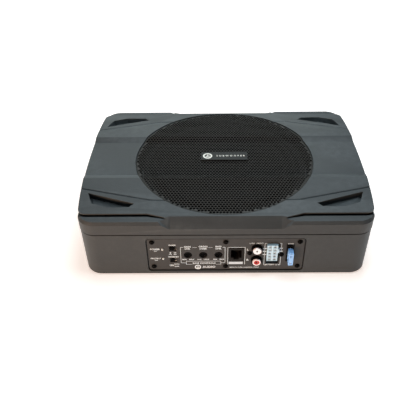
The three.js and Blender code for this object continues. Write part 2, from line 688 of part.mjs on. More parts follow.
function magnet() {
  return ring([[30, MAGNET_LOW], [50.5, MAGNET_LOW], [51.5, MAGNET_LOW + 1], [51.5, MAGNET_HIGH - 1],
    [50.5, MAGNET_HIGH], [30, MAGNET_HIGH]]);
}

// Back plate and vented pole in one piece.
function poleYoke() {
  const back = MAGNET_LOW - GAP;
  return ring([[6, YOKE_LOW], [50, YOKE_LOW], [52, YOKE_LOW + 2], [52, back], [23.8, back],
    [23.8, TOP_PLATE_HIGH], [6, TOP_PLATE_HIGH]]);
}

function driverScrew(x, y) {
  const seat = FLANGE_HIGH + GAP;
  const screw = turned([[0, BAFFLE_BOTTOM - 3], [1.5, BAFFLE_BOTTOM - 2], [1.5, seat], [3.2, seat],
    [3.2, seat + 1], [2, seat + 2], [0, seat + 2.2]], SMALL);
  return cut(screw, crossSlot(1.7, 0.4, seat + 0.8, 80)).translate([x, y, 0]);
}

// ---------------------------------------------------------------- amplifier
function circuitBoard() {
  return block(-90, 90, -113, -60, BOARD_Z, BOARD_TOP);
}

function heatSink() {
  const [x0, x1, y0, y1] = [-146, -98, -62, 34];
  const base = CASE_FLOOR + GAP;
  const fins = 7;
  let body = block(x0, x1, y0, y1, base, base + 5);
  for (let i = 0; i < fins; i += 1) {
    const y = y0 + 2 + i * (y1 - y0 - 5.5) / (fins - 1);
    body = join(body, block(x0, x1, y, y + 1.6, base + 4, base + 28));
  }
  return body;
}

function transformer() {
  const low = BOARD_TOP + GAP;
  const high = low + 13;
  return ring([[7, low + 2], [8.5, low], [13.5, low], [15.5, low + 2], [15.5, high - 2],
    [13.5, high], [8.5, high], [7, high - 2]], KNOB).translate([50, -84, 0]);
}

function capacitor(x, y) {
  const low = BOARD_TOP + GAP;
  const high = low + 24.8;
  return turned([[0, low], [8, low], [8, low + 1.8], [7.5, low + 2.4], [8, low + 3], [8, high - 0.6],
    [7.4, high], [0, high]], KNOB).translate([x, y, 0]);
}

// ---------------------------------------------------------------- finishes and assembly
function finish(colour, roughness, metalness = 0) {
  return new THREE.MeshStandardMaterial({ color: colour, roughness, metalness });
}

const CASE_PAINT = finish(0x4b5256, 0.6);
const PANEL_PAINT = finish(0x2e2a28, 0.5);
const BLACK_STEEL = finish(0x101112, 0.5, 0.3);
const BLACK_PLASTIC = finish(0x121212, 0.45);
const RUBBER = finish(0x18181a, 0.85);
const ZINC = finish(0x8d9092, 0.35, 0.9);
const FERRITE = finish(0x2b2b2d, 0.7, 0.2);
const PAPER = finish(0x1b1b1c, 0.8);
const SPIDER_CLOTH = finish(0xb88a3e, 0.9);
const COPPER = finish(0xa4612c, 0.35, 0.9);
const ALUMINIUM = finish(0xa9acae, 0.4, 0.9);
const FIBREGLASS = finish(0x1f5a35, 0.5);
const SLEEVE = finish(0x1b2b4a, 0.4);
const NYLON = finish(0xd9dedf, 0.5);
const BADGE = finish(0x3a3d3e, 0.4, 0.4);
const LENS = finish(0xe6e4dc, 0.25);
const SIGNAL_WHITE = finish(0xe9e7e1, 0.4);
const SIGNAL_RED = finish(0xc3261f, 0.4);
const FUSE_BLUE = finish(0x2f62c8, 0.3);

const subwoofer = new THREE.Group();
subwoofer.position.set(0, FUSE_REACH / 2, LIFT);

function add(name, body, material) {
  const mesh = new THREE.Mesh(fromSolid(body), material);
  mesh.name = name;
  subwoofer.add(mesh);
}

add('top_cover', topCover(), CASE_PAINT);
add('grille', grille(), BLACK_STEEL);
add('badge_plate', badgePlate(), BADGE);
add('cover_seal', coverSeal(), RUBBER);
add('lower_case', lowerCase(), CASE_PAINT);
QUARTERS.forEach(([sx, sy], i) => {
  add(`foot_${i + 1}`, foot(sx, sy), RUBBER);
  add(`case_screw_${i + 1}`, caseScrew(sx, sy), ZINC);
});

add('control_panel', controlPanel(), PANEL_PAINT);
PANEL_SCREWS.forEach(([x, z], i) => {
  add(`panel_screw_${i + 1}`, panelScrew(x, z, 3.1, -116.3), BLACK_STEEL);
});
CONNECTOR_SCREWS.forEach(([x, z], i) => {
  add(`connector_screw_${i + 1}`, panelScrew(x, z, 3, -117), BLACK_STEEL);
});
LEDS.forEach(([name, x, z]) => add(name, led(x, z), LENS));
SWITCHES.forEach(([x, z], i) => {
  add(`switch_housing_${i + 1}`, switchHousing(x, z), ZINC);
  add(`switch_slider_${i + 1}`, switchSlider(x, z), BLACK_PLASTIC);
});
POT_X.forEach((x, i) => {
  add(`pot_body_${i + 1}`, potBody(x), BLACK_PLASTIC);
  add(`pot_shaft_${i + 1}`, potShaft(x), BLACK_PLASTIC);
});
add('remote_jack', remoteJack(), BLACK_PLASTIC);
add('rca_housing', rcaHousing(), BLACK_PLASTIC);
add('rca_ring_white', rcaRing(RCA_Z[0]), SIGNAL_WHITE);
add('rca_ring_red', rcaRing(RCA_Z[1]), SIGNAL_RED);
add('power_header', powerHeader(), NYLON);
add('fuse_holder', fuseHolder(), BLACK_PLASTIC);
add('fuse', fuse(), FUSE_BLUE);

add('driver_gasket', driverGasket(), RUBBER);
add('basket', basket(), BLACK_STEEL);
add('surround', surround(), RUBBER);
add('cone', cone(), PAPER);
add('dust_cap', dustCap(), PAPER);
add('voice_coil', voiceCoil(), COPPER);
add('spider', spider(), SPIDER_CLOTH);
add('top_plate', topPlate(), ZINC);
add('magnet', magnet(), FERRITE);
add('pole_yoke', poleYoke(), ZINC);
boltCircle().forEach(([x, y], i) => add(`driver_screw_${i + 1}`, driverScrew(x, y), BLACK_STEEL));

add('circuit_board', circuitBoard(), FIBREGLASS);
add('heat_sink', heatSink(), ALUMINIUM);
add('transformer', transformer(), COPPER);
add('capacitor_1', capacitor(-62, -76), SLEEVE);
add('capacitor_2', capacitor(-38, -78), SLEEVE);

export default subwoofer;
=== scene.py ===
"""Looks of the under-seat powered subwoofer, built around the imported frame. Metres, +Z up."""
import json
import math
import random

import bmesh
import bpy
from mathutils import Matrix, Vector


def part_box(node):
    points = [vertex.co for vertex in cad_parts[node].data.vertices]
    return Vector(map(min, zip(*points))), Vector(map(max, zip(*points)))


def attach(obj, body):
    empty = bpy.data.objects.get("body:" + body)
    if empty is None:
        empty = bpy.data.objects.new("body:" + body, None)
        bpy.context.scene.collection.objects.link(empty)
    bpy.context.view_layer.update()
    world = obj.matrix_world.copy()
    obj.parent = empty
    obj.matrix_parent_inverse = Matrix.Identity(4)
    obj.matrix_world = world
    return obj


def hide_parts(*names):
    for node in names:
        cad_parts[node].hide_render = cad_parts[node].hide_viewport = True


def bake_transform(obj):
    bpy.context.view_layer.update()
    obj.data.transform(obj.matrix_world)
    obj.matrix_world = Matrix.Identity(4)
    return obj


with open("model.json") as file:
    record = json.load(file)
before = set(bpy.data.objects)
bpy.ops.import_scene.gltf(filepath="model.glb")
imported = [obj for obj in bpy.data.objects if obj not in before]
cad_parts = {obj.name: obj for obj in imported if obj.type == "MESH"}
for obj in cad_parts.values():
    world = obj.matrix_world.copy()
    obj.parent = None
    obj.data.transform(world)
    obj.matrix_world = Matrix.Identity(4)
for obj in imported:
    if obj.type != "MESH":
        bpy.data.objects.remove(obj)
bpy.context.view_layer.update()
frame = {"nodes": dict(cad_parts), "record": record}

MM = 0.001
chance = random.Random(7)


# ------------------------------------------------------------------ places taken from the frame
def centre(node):
    low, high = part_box(node)
    return (low + high) / 2


def size(node):
    low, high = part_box(node)
    return high - low


def front_of(node):
    """Centre of a node's front face, which looks along -Y."""
    low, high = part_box(node)
    return Vector(((low.x + high.x) / 2, low.y, (low.z + high.z) / 2))


GRILLE_MIDDLE = centre("grille")
GRILLE_RADIUS = size("grille").x / 2
PANEL_LOW, PANEL_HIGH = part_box("control_panel")
PANEL_FACE = PANEL_LOW.y
PANEL_X = (PANEL_LOW.x + PANEL_HIGH.x) / 2
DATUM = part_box("lower_case")[0].z + 3.6 * MM     # the height that legends are measured from
SLOT_OF = {s["node"]: s["material_slot"] for s in frame["record"]["subparts"]}
BODY_OF = {node: body for body, nodes in frame["record"]["behaviour"]["bodies"].items() for node in nodes}


# ------------------------------------------------------------------ camera, light and floor
CAMERA_LENS = 45.66                                  # millimetres on a 36 mm sensor
CAMERA_PLACE = Vector((-11.67, -556.15, 453.60)) * MM    # from the grille's middle at the datum height
CAMERA_ANGLES = (39.663, -0.724, -0.778)             # pitch down, yaw to the right and roll, in degrees
FLOOR_SIZE = 3.4
FLOOR_NEAR, FLOOR_FAR = 0.6, 1.2                     # distances between which the floor's painted glow brightens
FLOOR_PAINTED_GLOW = (0.64, 1.1)                             # painted glow of the floor, near and far: dimmer near the object as painted shade

# name, place, target, width, height, power, colour
SOFTBOXES = (
    ("top_softbox", (0.06, -0.02, 0.55), (0.06, -0.02, 0.05), 0.35, 0.35, 3.0, (0.81, 0.95, 1.0)),
    ("rear_softbox", (-0.1, 0.8, 0.9), (0, 0, 0.05), 1.2, 0.5, 3.5, (0.97, 1.0, 0.99)),
    ("rear_low_softbox", (-0.25, 1.2, 0.45), (-0.05, 0, 0.05), 1.4, 0.4, 4.3, (0.90, 1.0, 0.96)),
    ("right_softbox", (0.5, 0.7, 0.9), (0.1, 0, 0.05), 0.5, 0.5, 0.6, (0.83, 0.92, 1.0)),
    ("front_softbox", (-0.7, -1.05, 0.15), (-0.05, -0.1, 0.03), 1.0, 0.25, 16.5, (1.0, 0.66, 0.44)),
)


def look(pitch, yaw, roll):
    """Camera axes from its angles: pitch down, yaw to the right and roll, in degrees."""
    pitch, yaw, roll = (math.radians(a) for a in (pitch, yaw, roll))
    forward = Vector((math.sin(yaw) * math.cos(pitch), math.cos(yaw) * math.cos(pitch), -math.sin(pitch)))
    level = Vector((math.cos(yaw), -math.sin(yaw), 0))
    over = level.cross(forward)
    right = level * math.cos(roll) + over * math.sin(roll)
    up = over * math.cos(roll) - level * math.sin(roll)
    return Matrix((right, up, -forward)).transposed()


def make_camera():
    data = bpy.data.cameras.new("camera")
    data.sensor_width = 36
    data.lens = CAMERA_LENS
    data.clip_end = 20
    camera = bpy.data.objects.new("camera", data)
    place = Vector((GRILLE_MIDDLE.x, GRILLE_MIDDLE.y, DATUM)) + CAMERA_PLACE
    camera.matrix_world = Matrix.Translation(place) @ look(*CAMERA_ANGLES).to_4x4()
    bpy.context.scene.collection.objects.link(camera)
    bpy.context.scene.camera = camera


def softbox(name, place, target, width, height, power, colour):
    data = bpy.data.lights.new(name, "AREA")
    data.shape = "RECTANGLE"
    data.size = width
    data.size_y = height
    data.energy = power
    data.color = colour
    light = bpy.data.objects.new(name, data)
    light.location = place
    light.rotation_euler = (Vector(target) - Vector(place)).to_track_quat("-Z", "Y").to_euler()
    bpy.context.scene.collection.objects.link(light)


def make_studio():
    world = bpy.data.worlds.new("studio")
    bpy.context.scene.world = world
    world.use_nodes = True
    tree = world.node_tree
    tree.nodes["Background"].inputs["Color"].default_value = (1, 1, 1, 1)
    tree.nodes["Background"].inputs["Strength"].default_value = 0.02
    backdrop = tree.nodes.new("ShaderNodeBackground")
    backdrop.inputs["Color"].default_value = (1, 1, 1, 1)
    seen = tree.nodes.new("ShaderNodeLightPath")
    either = tree.nodes.new("ShaderNodeMixShader")
    tree.links.new(seen.outputs["Is Camera Ray"], either.inputs["Fac"])
    tree.links.new(tree.nodes["Background"].outputs["Background"], either.inputs[1])
    tree.links.new(backdrop.outputs["Background"], either.inputs[2])
    tree.links.new(either.outputs["Shader"], tree.nodes["World Output"].inputs["Surface"])
    for settings in SOFTBOXES:
        softbox(*settings)
    bpy.ops.mesh.primitive_plane_add(size=FLOOR_SIZE)
    floor = bpy.context.object
    floor.name = "floor"
    floor.data.materials.append(floor_finish())
    bpy.context.scene.view_settings.view_transform = "Standard"


# ------------------------------------------------------------------ materials
RELIEF_DEPTH = 0.3 * MM


def plain(name, colour, roughness):
    material = bpy.data.materials.new(name)
    material.use_nodes = True
    shader = material.node_tree.nodes["Principled BSDF"]
    shader.inputs["Base Color"].default_value = (*colour, 1)
    shader.inputs["Roughness"].default_value = roughness
    return material


def floor_finish():
    """Pale sweep with a painted glow that brightens with distance until it merges with the backdrop: near the
    object it is dimmer and warm, a painted shade round the case and painted warm light on its front walls.
    """
    material = plain("floor_paper", (0.9, 0.9, 0.9), 0.9)
    tree = material.node_tree
    shader = tree.nodes["Principled BSDF"]
    space = tree.nodes.new("ShaderNodeTexCoord")
    distance = tree.nodes.new("ShaderNodeVectorMath")
    distance.operation = "LENGTH"
    tree.links.new(space.outputs["Object"], distance.inputs[0])
    far = remap(tree, distance.outputs["Value"], 0.0, 1.0, FLOOR_NEAR, FLOOR_FAR)
    # painted light: warm glow of the floor near the object, which lights the case's front walls
    painted_glow_near_colour = tree.nodes.new("ShaderNodeRGB")
    painted_glow_near_colour.outputs[0].default_value = (1.0, 0.88, 0.82, 1)
    tree.links.new(mixed(tree, far, painted_glow_near_colour.outputs[0], (1, 1, 1)), shader.inputs["Emission Color"])
    tree.links.new(remap(tree, far, *FLOOR_PAINTED_GLOW, 0, 1), shader.inputs["Emission Strength"])
    return material


def noise(tree, space, scale, detail, stretch=(1, 1, 1)):
    """Noise texture in object space, optionally stretched along an axis."""
    mapping = tree.nodes.new("ShaderNodeMapping")
    mapping.inputs["Scale"].default_value = stretch
    texture = tree.nodes.new("ShaderNodeTexNoise")
    texture.inputs["Scale"].default_value = scale
    texture.inputs["Detail"].default_value = detail
    tree.links.new(space.outputs["Object"], mapping.inputs["Vector"])
    tree.links.new(mapping.outputs["Vector"], texture.inputs["Vector"])
    return texture.outputs["Fac"]


def remap(tree, value, low, high, from_low=0.3, from_high=0.7):
    node = tree.nodes.new("ShaderNodeMapRange")
    node.inputs["From Min"].default_value = from_low
    node.inputs["From Max"].default_value = from_high
    node.inputs["To Min"].default_value = low
    node.inputs["To Max"].default_value = high
    tree.links.new(value, node.inputs["Value"])
    return node.outputs["Result"]


def product(tree, first, second):
    node = tree.nodes.new("ShaderNodeMath")
    node.operation = "MULTIPLY"
    tree.links.new(first, node.inputs[0])
    tree.links.new(second, node.inputs[1])
    return node.outputs["Value"]


def mixed(tree, amount, first, second):
    """Colour that goes from the first to the second as the amount rises."""
    node = tree.nodes.new("ShaderNodeMix")
    node.data_type = "RGBA"
    tree.links.new(amount, node.inputs["Factor"])
    tree.links.new(first, node.inputs[6])
    node.inputs[7].default_value = (*second, 1)
    return node.outputs[2]


def textured(name, colour, roughness, metallic=0.0, grain=1800.0, bump=0.05, mottle=0.08, wear=0.0,
             spread=0.08, stretch=(1, 1, 1), coat=0.0, sheen=0.0, pebbled=False, dust=0.0, specular=0.35):
    """Painted, moulded or metal surface: grain, broad mottling, uneven gloss and worn edges."""
    material = plain(name, colour, roughness)
    tree = material.node_tree
    shader = tree.nodes["Principled BSDF"]
    shader.inputs["Metallic"].default_value = metallic
    shader.inputs["Specular IOR Level"].default_value = specular
    shader.inputs["Coat Weight"].default_value = coat
    shader.inputs["Coat Roughness"].default_value = 0.12
    shader.inputs["Sheen Weight"].default_value = sheen
    space = tree.nodes.new("ShaderNodeTexCoord")

    broad = noise(tree, space, 18, 5)
    middling = noise(tree, space, 140, 4, stretch)
    fine = noise(tree, space, grain, 2, stretch)
    shade = product(tree, remap(tree, broad, 1 - mottle, 1 + mottle),
                    remap(tree, fine, 1 - mottle, 1 + mottle))
    tint = tree.nodes.new("ShaderNodeVectorMath")
    tint.operation = "SCALE"
    tint.inputs[0].default_value = colour
    tree.links.new(shade, tint.inputs["Scale"])
    painted = tint.outputs["Vector"]
    if dust:
        painted = mixed(tree, remap(tree, middling, 0.0, dust, 0.5, 0.85), painted, (0.25, 0.25, 0.24))
    if wear:
        geometry = tree.nodes.new("ShaderNodeNewGeometry")
        rubbed = product(tree, remap(tree, geometry.outputs["Pointiness"], 0.0, wear, 0.52, 0.6),
                         remap(tree, middling, 0.3, 1.0))
        painted = mixed(tree, rubbed, painted, [min(1, 2.4 * c + 0.02) for c in colour])
    tree.links.new(painted, shader.inputs["Base Color"])

    gloss = tree.nodes.new("ShaderNodeMath")
    gloss.operation = "ADD"
    gloss.use_clamp = True
    tree.links.new(remap(tree, broad, roughness - spread, roughness + spread * 0.4), gloss.inputs[0])
    tree.links.new(remap(tree, middling, 0, spread * 0.6), gloss.inputs[1])
    tree.links.new(gloss.outputs["Value"], shader.inputs["Roughness"])

    height = fine
    if pebbled:
        texture = tree.nodes.new("ShaderNodeTexVoronoi")
        texture.inputs["Scale"].default_value = grain * 0.6
        texture.feature = "SMOOTH_F1"
        tree.links.new(space.outputs["Object"], texture.inputs["Vector"])
        height = texture.outputs["Distance"]
    relief = tree.nodes.new("ShaderNodeBump")
    relief.inputs["Strength"].default_value = bump
    relief.inputs["Distance"].default_value = RELIEF_DEPTH
    tree.links.new(height, relief.inputs["Height"])
    tree.links.new(relief.outputs["Normal"], shader.inputs["Normal"])
    return material


def finishes():
    brushed_x = (0.04, 1, 1)
    return {
        "case_paint": textured("case_paint", (0.0345, 0.0385, 0.0415), 0.47, grain=1500, bump=0.3, mottle=0.05,
                               wear=0.3, spread=0.07, pebbled=True, dust=0.02, specular=0.26),
        "panel_paint": textured("panel_paint", (0.032, 0.0323, 0.033), 0.45, grain=2200, bump=0.2, mottle=0.08,
                                wear=0.35, dust=0.02, specular=0.25),
        "grille_steel": textured("grille_steel", (0.0340, 0.0310, 0.0285), 0.5, grain=2600, bump=0.2,
                                 mottle=0.1, specular=0.18),
        "badge": textured("badge", (0.016, 0.017, 0.0175), 0.4, 0.2, grain=900, bump=0.12, stretch=brushed_x,
                          specular=0.15),
        "rubber": textured("rubber", (0.012, 0.012, 0.013), 0.78, grain=1600, bump=0.3, mottle=0.15, dust=0.03,
                           specular=0.15),
        "zinc": textured("zinc", (0.46, 0.47, 0.48), 0.3, 0.9, grain=900, bump=0.15, mottle=0.1, wear=0.3),
        "black_steel": textured("black_steel", (0.0018, 0.0018, 0.002), 0.4, grain=2500, bump=0.15, wear=0.3,
                                specular=0.03),
        "led_lens": textured("led_lens", (0.64, 0.69, 0.71), 0.2, grain=1500, bump=0.05, coat=0.5, mottle=0.03),
        "black_plastic": textured("black_plastic", (0.0018, 0.0018, 0.002), 0.45, grain=2600, bump=0.25,
                                  pebbled=True, mottle=0.12, wear=0.15, specular=0.035),
        "signal_white": textured("signal_white", (0.68, 0.79, 0.88), 0.35, grain=1500, bump=0.06, mottle=0.03),
        "signal_red": textured("signal_red", (0.38, 0.016, 0.014), 0.34, grain=1500, bump=0.06, mottle=0.06),
        "badge_white": textured("badge_white", (0.74, 0.70, 0.64), 0.35, grain=1500, bump=0.06, mottle=0.03),
        "jack_plastic": textured("jack_plastic", (0.012, 0.0112, 0.0105), 0.5, grain=2600, bump=0.25,
                                 pebbled=True, mottle=0.1, specular=0.12),
        "plated_rim": textured("plated_rim", (0.80, 0.72, 0.76), 0.35, 0.2, grain=900, bump=0.1, mottle=0.03),
        "nylon_white": textured("nylon_white", (0.43, 0.62, 0.77), 0.38, grain=1400, bump=0.1, mottle=0.05,
                                coat=0.2),
        "fuse_blue": fuse_finish(),
        "surround_rubber": textured("surround_rubber", (0.0015, 0.0015, 0.0015), 0.55, grain=1800, bump=0.15,
                                    mottle=0.12, specular=0.012),
        "cone_paper": textured("cone_paper", (0.0015, 0.0015, 0.0016), 0.75, grain=900, bump=0.6, mottle=0.25,
                               stretch=(1, 0.35, 1), specular=0.012),
        "copper": textured("copper", (0.6, 0.25, 0.1), 0.3, 0.85, grain=1800, bump=0.3, mottle=0.12),
        "spider_cloth": textured("spider_cloth", (0.42, 0.25, 0.08), 0.88, grain=1400, bump=0.8, mottle=0.15,
                                 sheen=0.3),
        "ferrite": textured("ferrite", (0.032, 0.032, 0.034), 0.6, 0.2, grain=1000, bump=0.5, mottle=0.2,
                            wear=0.5),
        "board_green": textured("board_green", (0.015, 0.11, 0.04), 0.35, grain=300, bump=0.1, mottle=0.25,
                                coat=0.3),
        "aluminium": textured("aluminium", (0.58, 0.59, 0.6), 0.33, 0.9, grain=700, bump=0.15,
                              stretch=brushed_x),
        "capacitor_sleeve": textured("capacitor_sleeve", (0.018, 0.03, 0.09), 0.28, grain=1200, bump=0.08,
                                     coat=0.4),
    }


def fuse_finish():
    """Tinted clear plastic that lets some light through."""
    material = textured("fuse_blue", (0.28, 0.55, 1.0), 0.16, grain=900, bump=0.04, mottle=0.05, coat=0.6)
    shader = material.node_tree.nodes["Principled BSDF"]
    shader.inputs["Transmission Weight"].default_value = 0.2
    shader.inputs["IOR"].default_value = 1.45
    return material


# ------------------------------------------------------------------ mesh helpers
def piece(name, mesh, slot, body="root", replaces=(), smooth=None, finish=None):
    """New object in the row frame, with its finish, its body and the CAD nodes it stands for."""
    shown = bpy.data.objects.new(name, mesh)
    bpy.context.scene.collection.objects.link(shown)
    mesh.materials.clear()
    mesh.materials.append(MATERIALS[finish or slot])
    if smooth is not None:
        mesh.shade_smooth()
        mesh.set_sharp_from_angle(angle=math.radians(smooth))
    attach(shown, body)
    if replaces:
        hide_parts(*replaces)
    return shown


def soften(shown, width, angle):
    """Small rounded edges wherever two faces meet at more than the angle."""
    bevel = shown.modifiers.new("edges", "BEVEL")
    bevel.width = width
    bevel.segments = 2
    bevel.limit_method = "ANGLE"
    bevel.angle_limit = math.radians(angle)
    bevel.harden_normals = True
    return shown


def refined(node, name, width, smooth=30, angle=30, finish=None):
    """Copy of a CAD node with its flat faces rejoined and its edges rounded."""
    mesh = frame["nodes"][node].data.copy()
    work = bmesh.new()
    work.from_mesh(mesh)
    bmesh.ops.remove_doubles(work, verts=work.verts, dist=1e-6)
    bmesh.ops.dissolve_limit(work, angle_limit=math.radians(0.4), verts=work.verts, edges=work.edges)
    work.to_mesh(mesh)
    work.free()
    shown = piece(name, mesh, SLOT_OF[node], BODY_OF[node], (node,), smooth, finish)
    return soften(shown, width, angle)


def mesh_of(work):
    mesh = bpy.data.meshes.new("shape")
    bmesh.ops.recalc_face_normals(work, faces=work.faces)
    work.to_mesh(mesh)
    work.free()
    return mesh


def bridge(work, rings, closed=True):
    """Faces between each ring of vertices and the next, and from the last back to the first."""
    pairs = list(zip(rings, rings[1:]))
    if closed:
        pairs.append((rings[-1], rings[0]))
    for first, second in pairs:
        for j in range(len(first)):
            n = (j + 1) % len(first)
            work.faces.new((first[j], first[n], second[n], second[j]))


def lathed(profile, steps):
    """Closed solid of revolution about +Z from (radius, height) points; ends on the axis or closes."""
    closed = profile[0][0] > 1e-9 or profile[-1][0] > 1e-9
    work = bmesh.new()
    rings = []
    for radius, height in profile:
        if radius <= 1e-9:
            rings.append([work.verts.new((0, 0, height))])
            continue
        angles = [2 * math.pi * k / steps for k in range(steps)]
        rings.append([work.verts.new((radius * math.cos(a), radius * math.sin(a), height)) for a in angles])
    pairs = list(zip(rings, rings[1:]))
    if closed:
        pairs.append((rings[-1], rings[0]))
    for lower, upper in pairs:
        for k in range(steps):
            n = (k + 1) % steps
            if len(lower) == 1 and len(upper) == 1:
                break
            if len(lower) == 1:
                work.faces.new((lower[0], upper[n], upper[k]))
            elif len(upper) == 1:
                work.faces.new((lower[k], lower[n], upper[0]))
            else:
                work.faces.new((lower[k], lower[n], upper[n], upper[k]))
    return mesh_of(work)


def brick(low, high, rounding=0.0, segments=2):
    """Box between two corners with rounded edges."""
    work = bmesh.new()
    low, high = Vector(low), Vector(high)
    place = Matrix.Translation((low + high) / 2) @ Matrix.Diagonal((*(high - low), 1))
    bmesh.ops.create_cube(work, size=1, matrix=place)
    if rounding:
        bmesh.ops.bevel(work, geom=work.edges[:], offset=rounding, segments=segments, affect="EDGES",
                        profile=0.5)
    return mesh_of(work)


def merged(*meshes):
    """One mesh from several separate ones."""
    work = bmesh.new()
    for mesh in meshes:
        work.from_mesh(mesh)
        bpy.data.meshes.remove(mesh)
    return mesh_of(work)


def moved(mesh, matrix):
    mesh.transform(matrix)
    return mesh


def carved(mesh, *cutters):
    """The mesh with the cutters' volumes taken out."""
    scene = bpy.context.scene
    target = bpy.data.objects.new("target", mesh)
    scene.collection.objects.link(target)
    tools = []
    for cutter in cutters:
        tool = bpy.data.objects.new("tool", cutter)
        scene.collection.objects.link(tool)
        tools.append(tool)
        step = target.modifiers.new("cut", "BOOLEAN")
        step.operation = "DIFFERENCE"
        step.solver = "EXACT"
        step.object = tool
    bpy.context.view_layer.update()
    result = bpy.data.meshes.new_from_object(target.evaluated_get(bpy.context.evaluated_depsgraph_get()))
    for shown in [target, *tools]:
        data = shown.data
        bpy.data.objects.remove(shown)
        bpy.data.meshes.remove(data)
    return result


FACING_FRONT = Matrix.Rotation(math.radians(90), 4, "X")       # turns +Z to -Y
FACING_DOWN = Matrix.Rotation(math.radians(180), 4, "X")


# ------------------------------------------------------------------ grille
def face_heights():
    """Height of the grille's face against distance from its centre line, read from its own mesh."""
    heights = {}
    for vertex in frame["nodes"]["grille"].data.vertices:
        distance = round(abs(vertex.co.y - GRILLE_MIDDLE.y), 5)
        heights[distance] = max(heights.get(distance, 0), vertex.co.z)
    return sorted(heights.items())


def along(profile, distance):
    for (d0, z0), (d1, z1) in zip(profile, profile[1:]):
        if distance <= d1:
            return z0 + (z1 - z0) * (distance - d0) / max(d1 - d0, 1e-9)
    return profile[-1][1]


def perforated_sheet(radius, pitch, hole_radius, band):
    """Flat disc of hexagonal cells, each with a round hole, as points and faces."""
    cell = pitch / math.sqrt(3)
    reach = radius - band
    points, faces, corners = [], [], {}

    def corner(x, y):
        key = (round(x / MM, 3), round(y / MM, 3))
        if key not in corners:
            corners[key] = len(points)
            points.append((x, y))
        return corners[key]

    rows = int(reach / (pitch * math.sqrt(3) / 2)) + 1
    columns = int(reach / pitch) + 1
    for row in range(-rows, rows + 1):
        for column in range(-columns, columns + 1):
            x = (column + 0.5 * (row % 2)) * pitch
            y = row * pitch * math.sqrt(3) / 2
            if math.hypot(x, y) + cell > reach:
                continue
            ring = []
            for k in range(12):
                angle = math.radians(30 * k)
                ring.append(len(points))
                points.append((x + hole_radius * math.cos(angle), y + hole_radius * math.sin(angle)))
            outer = [corner(x + cell * math.cos(math.radians(30 + 60 * k)),
                            y + cell * math.sin(math.radians(30 + 60 * k))) for k in range(6)]
            for k in range(6):
                inner = [ring[(2 * k + 3) % 12], ring[(2 * k + 2) % 12], ring[(2 * k + 1) % 12]]
                faces.append([outer[k], outer[(k + 1) % 6], *inner])
    return points, faces


def close_rim(points, faces, radius, steps=180):
    """Triangles between the outermost cells and the rim circle."""
    use = {}
    for face in faces:
        for a, b in zip(face, face[1:] + face[:1]):
            use[frozenset((a, b))] = use.get(frozenset((a, b)), 0) + 1
    cell_corners = {i for face in faces for i in face[:2]}
    border = [tuple(edge) for edge, count in use.items() if count == 1 and edge <= cell_corners]
    work = bmesh.new()
    made = {}
    for a, b in border:
        for i in (a, b):
            if i not in made:
                made[i] = work.verts.new((*points[i], 0))
        work.edges.new((made[a], made[b]))
    circle = []
    for k in range(steps):
        angle = 2 * math.pi * k / steps
        circle.append(len(points))
        points.append((radius * math.cos(angle), radius * math.sin(angle)))
        made[circle[-1]] = work.verts.new((*points[-1], 0))
    for a, b in zip(circle, circle[1:] + circle[:1]):
        work.edges.new((made[a], made[b]))
    number = {vertex: i for i, vertex in made.items()}
    bmesh.ops.triangle_fill(work, use_beauty=True, edges=work.edges[:], normal=(0, 0, 1))
    for face in work.faces:
        loop = [number[v] for v in face.verts]
        faces.append(loop if face.normal.z > 0 else loop[::-1])
    work.free()
    return circle


def make_grille():
    """Perforated steel sheet that follows the creases, with its rim turned down."""
    profile = face_heights()
    thickness, turned_down = 0.4 * MM, 0.9 * MM
    pitch, hole_radius, plain_band = 3.7 * MM, 1.7 * MM, 0.25 * MM
    points, faces = perforated_sheet(GRILLE_RADIUS, pitch, hole_radius, plain_band)
    rim = close_rim(points, faces, GRILLE_RADIUS)
    count = len(points)
    tops = [along(profile, abs(y)) - (turned_down if i >= rim[0] else 0) for i, (_, y) in enumerate(points)]
    vertices = [(x, y, z) for (x, y), z in zip(points, tops)]
    vertices += [(x, y, z - thickness) for (x, y), z in zip(points, tops)]
    used = {(a, b) for face in faces for a, b in zip(face, face[1:] + face[:1])}
    below = [[i + count for i in reversed(face)] for face in faces]
    walls = [[b, a, a + count, b + count] for a, b in used if (b, a) not in used]
    mesh = bpy.data.meshes.new("grille_sheet")
    mesh.from_pydata(vertices, [], faces + below + walls)
    mesh.validate()
    mesh.transform(Matrix.Translation((GRILLE_MIDDLE.x, GRILLE_MIDDLE.y, 0)))
    piece("grille_sheet", mesh, "grille_steel", replaces=("grille",))


def make_pan_painted_shade():
    """Black sheet over the wall and the ledge of the pan that carries the driver: painted shade in the gap
    round the grille.
    """
    profile = face_heights()
    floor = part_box("driver_gasket")[0].z - 0.2 * MM
    ledge_drop = 1.95 * MM
    # distance in from the grille's edge, whether it lies on the ledge, height above the ledge or floor
    section = [(-6.7, None, 0), (-2.8, None, 0), (-2.8, 1, 0), (-0.3, 1, 0),
               (-0.3, 1, 0.25), (-3.1, 1, 0.25), (-3.1, None, 0.4), (-6.7, None, 0.4)]
    steps = 120
    work = bmesh.new()
    rings = []
    for k in range(steps):
        angle = 2 * math.pi * k / steps
        ring = []
        for inset, on_ledge, rise in section:
            r = GRILLE_RADIUS + inset * MM
            x, y = r * math.cos(angle), r * math.sin(angle)
            base = along(profile, abs(y)) - ledge_drop if on_ledge else floor
            ring.append(work.verts.new((GRILLE_MIDDLE.x + x, GRILLE_MIDDLE.y + y, base + rise * MM)))
        rings.append(ring)
    bridge(work, rings)
    # painted shade: black sheet where the pan lies in shade under the grille's rim
    piece("pan_painted_shade", mesh_of(work), "surround_rubber", smooth=30)


